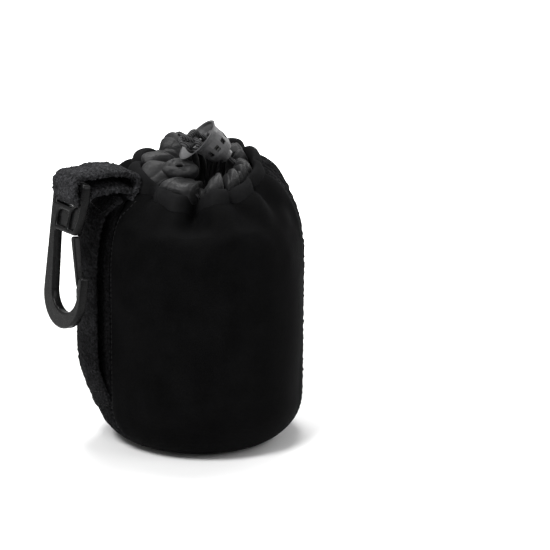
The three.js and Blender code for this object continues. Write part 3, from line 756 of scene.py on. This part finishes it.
def collar_points():
    """The satin: sewn inside the hem at its foot, and free and folded above."""
    phi = np.linspace(-math.pi, math.pi, SATIN_COLS, endpoint=False)[None, :]
    line, _ = smooth_line(SATIN_SECTION, SATIN_STEPS)
    radius, z = line[:, :1], line[:, 1:]
    t = np.linspace(0, 1, SATIN_STEPS)[:, None]
    degrees = np.degrees(phi)
    arch = SATIN_MIDDLE * phi
    inner = smooth(t, *INSIDE)
    lobe = 1 - nearness(crease_share(phi, SATIN_CREASES)[0]) ** SATIN_BLUNTNESS
    ridges = RIDGE_LEVEL - np.abs(waves(arch + RIDGE_SLANT * t, t * RIDGE_RUN, seed=8, scale=15))
    crumple = CRUMPLE * waves(arch, t * CRUMPLE_RUN, seed=5, scale=17, count=9) + ridges
    wander = WANDER * waves(arch * 0.5, t * WANDER_RUN, seed=17, scale=26, count=6)
    fold = np.abs((degrees / FOLD_WIDTH + wander) % 1 - 0.5) * 2
    d = SATIN_LOBE * lobe - SATIN_SUNK - (PLEAT_OUTSIDE + PLEAT_INSIDE * inner) * pleat_depth(degrees, t)
    d = d + crumple * (1 - CRUMPLE_EASE * inner) + (FOLD_OUTSIDE + FOLD_INSIDE * inner) * (fold - 0.5)
    d = d * smooth(t, *RISING)
    slope = unit(np.gradient(line, axis=0))
    free_radius = np.maximum(radius + slope[:, 1:] * d, SATIN_LEAST)
    free = gather_round(free_radius, phi, z - slope[:, :1] * d, SATIN_GATHER)
    sewn = gather_round(radius - SATIN_IN_HEM, phi, z, HEM_GATHER)
    share = smooth(t, *FREED)[..., None]
    return sewn * (1 - share) + free * share


collar = sheet_object("satin_gathers", collar_points(), SATIN_THICK, closed=True)
dress(collar, SATIN, "pouch", "satin", "satin_collar")

# The fold of satin with a hole, in front of the mouth

EYELET = np.array([-11.6, -6.6, 138.7])
EYELET_TILT = math.radians(36)
EYELET_COLS = 96
EYELET_STEPS = 40
EYELET_THICK = 0.4
EYELET_WIDE, EYELET_TALL, EYELET_ROUND = 1.75, 1.1, 0.15
EYELET_CRUMPLE, EYELET_WAVE, EYELET_FOLDS, EYELET_PHASE = 0.4, 0.45, 3, 0.6
EYELET_LIP = (1.3, 4.2)

# From the bottom of the hole, over its rolled lip and out to the edge: radius and level
EYELET_SECTION = [(0.05, -3.6), (0.7, -3.4), (1.0, -2.4), (1.1, -0.8), (1.16, -0.1), (1.35, 0.12), (1.6, 0.1),
                  (1.9, 0.0), (2.4, 0.0), (3.0, 0.0), (3.9, -0.1), (4.9, -0.6), (5.5, -1.9), (5.7, -4.5)]


def eyelet_points():
    """The fold, uneven outwards from its lip, turned to face up and forwards."""
    turn = full_turn(EYELET_COLS)[None, :]
    rows, _ = smooth_line(EYELET_SECTION, EYELET_STEPS)
    size, level = rows[:, :1], rows[:, 1:]
    share = smooth(size, *EYELET_LIP)
    u = size * (EYELET_WIDE - EYELET_ROUND * share) * np.cos(turn)
    v = size * (EYELET_TALL - EYELET_ROUND * share) * np.sin(turn)
    crumple = EYELET_CRUMPLE * waves(turn * 6, size * 2, seed=15, scale=9)
    w = level + share * (crumple + EYELET_WAVE * np.cos(EYELET_FOLDS * turn + EYELET_PHASE))
    right = np.array([math.cos(AZIMUTH), math.sin(AZIMUTH), 0])
    away = np.array([-math.sin(AZIMUTH), math.cos(AZIMUTH), 0])
    rise = away * math.cos(EYELET_TILT) + np.array([0, 0, math.sin(EYELET_TILT)])
    return EYELET + u[..., None] * right + v[..., None] * rise + w[..., None] * np.cross(right, rise)


eyelet = sheet_object("satin_eyelet", eyelet_points(), EYELET_THICK, closed=True)
dress(eyelet, SATIN, "pouch", "satin")

# Webbing

RIBBON_BLUR = 2
RIBBON_EDGE = 0.5
RIBBON_FACE = 0.28
RIBBON_GRAIN = 2.6
RIBBON_WAVES = 16
OTHER_FACE = 40


def blur_line(line):
    """Each point becomes the mean of its neighbours, and the ends stay."""
    count = 2 * RIBBON_BLUR + 1
    pad = np.pad(line, ((RIBBON_BLUR, RIBBON_BLUR), (0, 0)), mode="edge")
    soft = np.stack([np.convolve(column, np.ones(count) / count, "valid") for column in pad.T], 1)
    soft[0], soft[-1] = line[0], line[-1]
    return soft


def ribbon_points(route, width, thickness, steps, cols, seed, rough, side=(0, 1, 0), sag=0.0):
    """A padded strip along a route, as a grid that closes across. Its edges sag off its middle by sag."""
    route = np.array(route, float)
    for count in (8 * len(route), steps):
        route = blur_line(even_line(route, count)[0])
    line, length = even_line(route, steps)
    side = np.array(side, float)
    face = unit(np.cross(side, unit(np.gradient(line, axis=0))))
    turn = full_turn(cols)
    c, s = np.cos(turn), np.sin(turn)
    wide = np.sign(c) * np.abs(c) ** RIBBON_EDGE * width / 2
    deep = np.sign(s) * np.abs(s) ** RIBBON_FACE * thickness / 2 + sag * (wide / width * 2) ** 2
    p = line[:, None, :] + side * wide[None, :, None] + face[:, None, :] * deep[None, :, None]
    along = np.linspace(0, length, steps)[:, None]
    across = (wide + OTHER_FACE * (s > 0))[None, :]
    bumps = rough * waves(along, across, seed, RIBBON_GRAIN, RIBBON_WAVES)
    return p + outward(p, line[:, None, :], closed=True) * bumps[..., None]


def body_radius(z):
    under = max(0, CORNER - z) / CORNER
    over = max(0, z - SHOULDER) / (CREASE - SHOULDER)
    if under > 0:
        return BASE_RADIUS + (BODY_RADIUS - BASE_RADIUS) * math.sqrt(1 - under ** 2)
    return CREASE_RADIUS + (BODY_RADIUS - CREASE_RADIUS) * math.sqrt(max(0, 1 - over ** 2))


# Belt strap, sewn to the band at both ends

STRAP_BOTTOM = 18.5
STRAP_TOP = 129.5
STRAP_LIFT = 7.4
STRAP_WIDTH = 28.6
STRAP_THICK = 2.5
STRAP_SAG = 5.2
STRAP_STEPS = 200
STRAP_COLS = 72
STRAP_SEED = 31
STRAP_ROUGH = 0.22

# The bow of the strap: shares of its height and of its lift
STRAP_BOW = [(0, -0.1), (0.05, 0.12), (0.11, 0.5), (0.18, 0.85), (0.27, 1), (0.42, 1), (0.58, 1), (0.7, 1),
             (0.8, 1), (0.87, 1.05), (0.93, 0.95), (0.97, 0.6), (1, 0.2)]

# The outer face of the strap is these columns of its grid, and its two sewn boxes are these rows
OUTER_FIRST, OUTER_LAST = 40, 68
SEWN_ROWS = ((4, 18), (178, 196))


def strap_points():
    route = []
    for share, lift in STRAP_BOW:
        z = STRAP_BOTTOM + share * (STRAP_TOP - STRAP_BOTTOM)
        route.append((-body_radius(z) - BAND_PROUD - STRAP_THICK / 2 - lift * STRAP_LIFT, 0, z))
    return ribbon_points(route, STRAP_WIDTH, STRAP_THICK, STRAP_STEPS, STRAP_COLS, STRAP_SEED,
                         STRAP_ROUGH, sag=STRAP_SAG)


def strap_boxes(grid):
    """The four sides of each sewn box, as lines with normals that point away from the body."""
    lines = []
    for first, last in SEWN_ROWS:
        lines += [grid[row, OUTER_FIRST:OUTER_LAST + 1] for row in (first, last - 1)]
        lines += [grid[first:last, column] for column in (OUTER_FIRST, OUTER_LAST)]
    return [(line, line * 0 + np.array([-1, 0, 0])) for line in lines]


strap_grid = strap_points()
dress(strip_object("belt_strap_pile", strap_grid), PILE, "pouch", "webbing", "belt_strap")
stitches("strap_box_stitches", strap_boxes(strap_grid), "webbing", pitch=2.2, length=1.6, thickness=0.5)

# Hanger loop, out from its sewn end round the hook's bar and back

TWIST = math.radians(20)
OUT = np.array([-math.cos(TWIST), -math.sin(TWIST), 0])
ALONG = np.array([-math.sin(TWIST), math.cos(TWIST), 0])
HANGER_ROOT = np.array([-39, -3, 0])
HANGER_TOP = 133.6
HANGER_BOTTOM = 128
HANGER_WIDTH = 20.6
HANGER_THICK = 3.1
HANGER_STEPS = 220
HANGER_COLS = 64
HANGER_SEED = 57
BAR_REACH = 28
BAR_LEVEL = 134.5
LOOP_RADIUS = 4.4
LOOP_BELOW = 9.2
LOOP_STEPS = 12
HANGER_ROUGH = 0.3
TILT_TOP, TILT_BOTTOM, TILT_AXIS, TILT_ENDS = 0.05, 0.25, 10.3, (12, 23)

# Shares of the reach to the bar, and of the way from the sewn end's level to the loop's
TOP_RUN = [(0.06, -1.7), (-0.04, -1.1), (-0.12, -0.2), (-0.08, 0.45), (0.17, 0.83), (0.47, 1), (0.8, 1)]
BOTTOM_RUN = [(0.8, 1), (0.57, 1.2), (0.33, 1.2), (0.12, 0.6), (0, 0)]


def hanger_run(shares, start, end):
    return [(u * BAR_REACH, start + k * (end - start)) for u, k in shares]


def hanger_points():
    """The loop of webbing, whose runs tip towards the front, the lower one more, away from the bar."""
    route = hanger_run(TOP_RUN, HANGER_TOP, BAR_LEVEL + LOOP_RADIUS)
    for i in range(LOOP_STEPS + 1):
        turn = math.pi * (0.5 - i / LOOP_STEPS)
        drop = LOOP_RADIUS if turn > 0 else LOOP_BELOW
        route.append((BAR_REACH + LOOP_RADIUS * math.cos(turn), BAR_LEVEL + drop * math.sin(turn)))
    route += hanger_run(BOTTOM_RUN, HANGER_BOTTOM, BAR_LEVEL - LOOP_RADIUS)
    route = [HANGER_ROOT + OUT * u + np.array([0, 0, z]) for u, z in route]
    p = ribbon_points(route, HANGER_WIDTH, HANGER_THICK, HANGER_STEPS, HANGER_COLS, HANGER_SEED,
                      HANGER_ROUGH, ALONG)
    reach = (p - HANGER_ROOT) @ OUT
    over = (p - HANGER_ROOT) @ ALONG + TILT_AXIS
    farthest = int(np.argmax(reach.mean(axis=1)))
    tilt = np.where(np.arange(len(p)) < farthest, TILT_TOP, TILT_BOTTOM)[:, None]
    p[..., 2] += tilt * over * (1 - smooth(reach, *TILT_ENDS))
    return p


dress(strip_object("hanger_pile", hanger_points()), WEB, "pouch", "webbing", "hanger_loop")

# Drawcord: a ring in the satin's channel, two strands through the cord lock, and a knot with two tails

CORD_DIAMETER = 2.4
STRAND_HALF = 1.35
STRAND_STEPS = 34
RING_DROP = 0.6
RING_STEPS = 220
LOCK_Y = -1
KNOT_CENTRE = np.array([-5.5, LOCK_Y - 4.3, 150.4])
KNOT_SIZE = 1.62
KNOT_DEPTH = 1.25
KNOT_CORD = 2.9
KNOT_TIP = math.radians(70)
KNOT_SPIN = math.radians(25)
KNOT_STEPS = 160
TAIL_DIAMETER = 2.3
TAIL_STEPS = 14

# The way of both strands in x and z, and where each then ends in the knot, its y from the strand's own
STRAND = [(21, 136.6), (18.8, 137.1), (16.5, 138.1), (13.6, 140.7), (8, 145.9), (4.6, 149.1),
          (3, 150.5), (0.3, 152.2)]
STRAND_END = (-4.2, -2.0, 153)

# The way of a tail from the knot's middle, where y is for the back one
TAIL = [(1, 0.8, 0.5), (-2.6, 2.2, 2.0), (-5.6, 3.2, 3.6)]


def add_line(curve, points, cyclic):
    spline = curve.splines.new("POLY")
    spline.points.add(len(points) - 1)
    for point, place in zip(spline.points, points):
        point.co = (*(v * MM for v in place), 1)
    spline.use_cyclic_u = cyclic
    return spline


def cord_object(name, points, diameter, cyclic=False):
    curve = bpy.data.curves.new(name, "CURVE")
    curve.dimensions = "3D"
    curve.bevel_depth = diameter / 2 * MM
    curve.bevel_resolution = 6
    curve.resolution_u = 1
    curve.use_fill_caps = True
    add_line(curve, points, cyclic).use_smooth = True
    return new_object(name, curve)


def make_knot():
    """Both strands tied together, as a trefoil."""
    t = full_turn(KNOT_STEPS)
    x = np.sin(t) + 2 * np.sin(2 * t)
    y = np.cos(t) - 2 * np.cos(2 * t)
    z = -KNOT_DEPTH * np.sin(3 * t)
    turn = Matrix.Rotation(KNOT_TIP, 3, "X") @ Matrix.Rotation(KNOT_SPIN, 3, "Z")
    p = np.stack([x, y, z], 1) * KNOT_SIZE @ np.array(turn).T + KNOT_CENTRE
    return dress(cord_object("knot_coils", p, KNOT_CORD, cyclic=True), CORD, "pouch", "cord", "cord_knot")


def make_tail(name, way):
    line, _ = smooth_line([KNOT_CENTRE + [x, way * y, z] for x, y, z in TAIL], TAIL_STEPS)
    return dress(cord_object("cord_tail_" + name, line, TAIL_DIAMETER), CORD, "pouch", "cord")


def make_ring():
    phi = full_turn(RING_STEPS)
    p = gather_round(CHANNEL_MIDDLE, phi, CHANNEL_HEIGHT - RING_DROP, SATIN_GATHER)
    ring = cord_object("drawcord_ring", p, CORD_DIAMETER, cyclic=True)
    return dress(ring, CORD, "pouch", "cord", "drawcord_loop")


def strand_line(way):
    y = LOCK_Y + way * STRAND_HALF
    route = [(x, y, z) for x, z in STRAND] + [(STRAND_END[0], y + STRAND_END[1], STRAND_END[2])]
    return smooth_line(route, STRAND_STEPS)


knot = make_knot()
tails = [make_tail("front", -1), make_tail("back", 1)]
make_ring()
for way, name in ((-1, "front"), (1, "back")):
    line, length = strand_line(way)
    strand = cord_object("cord_strand_" + name, line, CORD_DIAMETER)
    dress(strand, CORD, "pouch", "cord", "drawcord_strand_" + name)

# Snap hook: rounded outlines in its own plane, far side along +X and its bar at the origin, levels downwards

HOOK_SWING = math.radians(7.5)
HOOK_THICK = 4.4
HOOK_EDGE = 0.9
BAR_HALF = 1.9
FRAME_NEAR = 13.6
FRAME_FAR = 14
SLOT_HALF = 10.5
NEAR_CORNER = 3
FAR_CORNER = 7
SLOT_FOOT = 10.8
SLANT_LEVEL = 6.4
SLANT_NEAR = 4.6
ARM = 2.5
GUSSET_START = 7.5
GUSSET_LEVEL = 16
GUSSET_NEAR = 11.8
CROSS_BOTTOM = 23.8
CROSS_HEIGHT = 2.3
CROSS_NEAR = 9
RIB = 1.7
RIB_TOP = 2.8
RIB_FOOT = 1.2
PANEL_WEB = 1.4
PANEL_ARCH = 4.5
SPINE_TOP = 5.8
SPINE = 8.2
BOW_LEVEL = 53
BOW_NEAR = 20
BOW_BAND = 8.3
NOSE = 3.6
NOSE_LEVEL = 43.6
GATE_ROOT = 1.6
GATE_TIP = 1.2
GATE_DEPTH = 3.6
GATE_EDGE = 0.6
GATE_TIP_LEVEL = 45.5
SEAM_GAP = 0.3
SMALL_CORNER = 1.2
SOFT_CORNER = 1.5
LOWER_LEAN = 0.5
UPPER_LEAN = 0.4
WEB_EDGE = 0.05
WEB_WIDER = 1.12
WEB_TALLER = 1.08


def arc(x, y, radius, start, end, steps):
    turns = np.linspace(math.radians(start), math.radians(end), steps)
    return [(x + radius * math.cos(t), y + radius * math.sin(t)) for t in turns]


def bend(a, control, b, steps=10):
    """A curve from a to b that is pulled towards a control point."""
    a, control, b = np.array(a), np.array(control), np.array(b)
    return [tuple((1 - t) ** 2 * a + 2 * t * (1 - t) * control + t * t * b) for t in np.linspace(0, 1, steps)]


def hook_place():
    """Where the hook hangs: across along the bar, up along the hook, and the bar's middle as its origin."""
    hanging = OUT * math.sin(HOOK_SWING) + np.array([0, 0, -math.cos(HOOK_SWING)])
    bar = HANGER_ROOT + OUT * BAR_REACH + np.array([0, 0, BAR_LEVEL])
    columns = (ALONG, -hanging, np.cross(ALONG, -hanging), bar * MM)
    return Matrix([[float(column[row]) for column in columns] for row in range(3)] + [[0, 0, 0, 1]])


def plate(name, outlines, thickness, edge):
    """A filled outline with rounded edges; the outlines after the first are its holes."""
    curve = bpy.data.curves.new(name, "CURVE")
    curve.dimensions = "2D"
    curve.fill_mode = "BOTH"
    curve.extrude = (thickness / 2 - edge) * MM
    curve.bevel_depth = edge * MM
    curve.bevel_resolution = 4
    curve.offset = -edge * MM
    for outline in outlines:
        add_line(curve, [(x, y, 0) for x, y in outline], True)
    obj = new_object(name, curve)
    obj.matrix_world = hook_place()
    return obj


def hook_outline():
    """Round the hook clockwise from its far shoulder: spine, bow, nose, inside of the bow, frame."""
    outer = (FRAME_FAR + BOW_NEAR) / 2
    in_far, in_near = FRAME_FAR - SPINE, NOSE - BOW_NEAR
    in_radius = (in_far - in_near) / 2
    in_level = BOW_LEVEL + outer - BOW_BAND - in_radius
    spine_in = FRAME_FAR - SPINE_TOP
    line = bend((FRAME_FAR - FAR_CORNER, BAR_HALF), (FRAME_FAR, BAR_HALF), (FRAME_FAR, BAR_HALF - FAR_CORNER))
    line += arc((FRAME_FAR - BOW_NEAR) / 2, -BOW_LEVEL, outer, 0, -180, steps=48)
    line += arc(NOSE / 2 - BOW_NEAR, -NOSE_LEVEL, NOSE / 2, 180, 0, steps=12)
    line += arc((in_far + in_near) / 2, -in_level, in_radius, 180, 360, steps=36)
    line += bend((spine_in, -CROSS_BOTTOM - SMALL_CORNER), (spine_in, -CROSS_BOTTOM),
                 (spine_in - SMALL_CORNER, -CROSS_BOTTOM), steps=5)
    line += bend((SOFT_CORNER - CROSS_NEAR, -CROSS_BOTTOM), (-CROSS_NEAR, -CROSS_BOTTOM),
                 (-CROSS_NEAR - LOWER_LEAN, SOFT_CORNER - CROSS_BOTTOM), steps=5)
    line += bend((-GUSSET_NEAR + LOWER_LEAN, -GUSSET_LEVEL - SOFT_CORNER), (-GUSSET_NEAR, -GUSSET_LEVEL),
                 (-GUSSET_NEAR - UPPER_LEAN, -GUSSET_LEVEL + SOFT_CORNER), steps=5)
    line += bend((-FRAME_NEAR + UPPER_LEAN, -GUSSET_START - SOFT_CORNER), (-FRAME_NEAR, -GUSSET_START),
                 (-FRAME_NEAR, -GUSSET_START + SOFT_CORNER), steps=5)
    line += bend((-FRAME_NEAR, BAR_HALF - NEAR_CORNER), (-FRAME_NEAR, BAR_HALF),
                 (NEAR_CORNER - FRAME_NEAR, BAR_HALF))
    return line


def hook_panels():
    """The two panels of the frame, far and near, on both sides of the slanted rib."""
    arm = -SLOT_FOOT - ARM
    cross = CROSS_HEIGHT - CROSS_BOTTOM
    half = RIB / 2
    spine_in = FRAME_FAR - SPINE_TOP
    far = [(half - RIB_TOP, arm), (half - RIB_FOOT, cross), (spine_in, cross)]
    far += bend((spine_in, arm - PANEL_ARCH), (spine_in, arm), (spine_in - PANEL_ARCH, arm))
    near = [(-half - RIB_TOP, arm), (-SLANT_NEAR - half, -SLOT_FOOT - half),
            (-SLOT_HALF - half, -SLANT_LEVEL - half), (RIB - FRAME_NEAR, -GUSSET_START - half),
            (RIB - GUSSET_NEAR, -GUSSET_LEVEL), (RIB - CROSS_NEAR, cross), (-half - RIB_FOOT, cross)]
    return far, near


def make_hook():
    """The frame with its slot, and a thin web in each of its panels."""
    slot = [(-SLOT_HALF, -BAR_HALF), (-SLOT_HALF, -SLANT_LEVEL), (-SLANT_NEAR, -SLOT_FOOT),
            (SLOT_HALF, -SLOT_FOOT), (SLOT_HALF, -BAR_HALF)]
    far, near = hook_panels()
    moulding = plate("hook_moulding", [hook_outline(), slot, far, near], HOOK_THICK, HOOK_EDGE)
    dress(moulding, HOOK, "hook", "hook_plastic", "snap_hook_body")
    for name, outline in (("far", far), ("near", near)):
        middle = np.mean(outline, axis=0)
        wider = (np.array(outline) - middle) * (WEB_WIDER, WEB_TALLER) + middle
        dress(plate("hook_web_" + name, [wider], PANEL_WEB, WEB_EDGE), HOOK, "hook", "hook_plastic")


def make_gate():
    """The tongue from under the crossbar to the inside of the nose."""
    root = np.array([GATE_ROOT - CROSS_NEAR, -CROSS_BOTTOM - SEAM_GAP - GATE_ROOT])
    tip = np.array([NOSE - BOW_NEAR + SEAM_GAP + GATE_TIP, -GATE_TIP_LEVEL])
    along = math.degrees(math.atan2(tip[1] - root[1], tip[0] - root[0]))
    outline = arc(*root, GATE_ROOT, along + 90, along + 270, steps=16)
    outline += arc(*tip, GATE_TIP, along - 90, along + 90, steps=12)
    tongue = plate("gate_tongue", [outline], GATE_DEPTH, GATE_EDGE)
    dress(tongue, HOOK, "hook_gate", "hook_plastic", "snap_hook_gate")


make_hook()
make_gate()

# Cord lock: the solids themselves, with a better material

SHARP_ANGLE = math.radians(32)

for name, mat in (("cord_lock_barrel", LOCK), ("cord_lock_plunger", LOCK), ("cord_lock_spring", STEEL)):
    mesh = nodes[name].data
    mesh.materials.clear()
    mesh.materials.append(mat)
    mesh.polygons.foreach_set("use_smooth", [True] * len(mesh.polygons))
    mesh.set_sharp_from_angle(angle=SHARP_ANGLE)

# Stage and light, in metres

FLOOR_HALF = 3.0
FLOOR_DROP = 0.0002
GLOW_START, GLOW_FULL = 0.15, 0.6
SKY_START, SKY_END = -0.1, 0.75
SKY_LOW, SKY_HIGH = 0.25, 1.25
MATT_LEVEL = 0.36


def stage():
    """A pale floor that keeps the shadow and turns white for the camera farther out."""
    mesh = bpy.data.meshes.new("floor")
    corners = [(-1, -1), (1, -1), (1, 1), (-1, 1)]
    mesh.from_pydata([(x * FLOOR_HALF, y * FLOOR_HALF, 0) for x, y in corners], [], [(0, 1, 2, 3)])
    floor = new_object("floor", mesh)
    mat, tree, shader = material("pale_floor", (0.86, 0.86, 0.86), rough=0.6, spec=0.2)
    coords = add(tree, "ShaderNodeTexCoord")
    length = add(tree, "ShaderNodeVectorMath", operation="LENGTH")
    tree.links.new(coords.outputs["Object"], length.inputs[0])
    glow = map_range(tree, length.outputs["Value"], GLOW_START, GLOW_FULL)
    path = add(tree, "ShaderNodeLightPath")
    shader.inputs["Emission Color"].default_value = (1, 1, 1, 1)
    seen = combine(tree, "MULTIPLY", glow, path.outputs["Is Camera Ray"])
    tree.links.new(seen, shader.inputs["Emission Strength"])
    mesh.materials.append(mat)
    floor.location.z = -FLOOR_DROP


def lamp(name, place, aim, size, power):
    data = bpy.data.lights.new(name, "AREA")
    data.shape = "DISK"
    data.size = size
    data.energy = power
    obj = new_object(name, data)
    obj.location = place
    obj.rotation_euler = (Vector(aim) - Vector(place)).to_track_quat("-Z", "Y").to_euler()


def studio():
    """White to the camera, a sky that darkens downwards to reflections, and a dimmer one to matt surfaces."""
    world = bpy.data.worlds.new("studio")
    scene.world = world
    world.use_nodes = True
    tree = world.node_tree
    back = tree.nodes["Background"]
    back.inputs["Color"].default_value = (1, 1, 1, 1)
    path = add(tree, "ShaderNodeLightPath")
    clear = path.outputs["Is Camera Ray"]
    for name in ("Is Glossy Ray", "Is Transmission Ray"):
        clear = combine(tree, "MAXIMUM", clear, path.outputs[name])
    level = map_range(tree, clear, 0, 1, low=MATT_LEVEL)
    coords = add(tree, "ShaderNodeTexCoord")
    parts = add(tree, "ShaderNodeSeparateXYZ")
    tree.links.new(coords.outputs["Generated"], parts.inputs[0])
    sky = map_range(tree, parts.outputs[2], SKY_START, SKY_END, SKY_LOW, SKY_HIGH)
    shade = add(tree, "ShaderNodeMix")
    tree.links.new(path.outputs["Is Camera Ray"], shade.inputs[0])
    tree.links.new(sky, shade.inputs[2])
    shade.inputs[3].default_value = 1.0
    tree.links.new(combine(tree, "MULTIPLY", level, shade.outputs[0]), back.inputs["Strength"])


stage()
lamp("key", place=(-0.7, -0.5, 1.2), aim=(0, 0, 0.1), size=0.5, power=19)
lamp("fill", place=(1.0, -0.8, 0.8), aim=(0, 0, 0.08), size=0.8, power=5)
lamp("top", place=(0.1, 0.4, 1.4), aim=(0, 0, 0.1), size=0.6, power=16)
lamp("rim", place=(0.95, 0.55, 0.45), aim=(0, 0, 0.09), size=0.5, power=3.5)
studio()
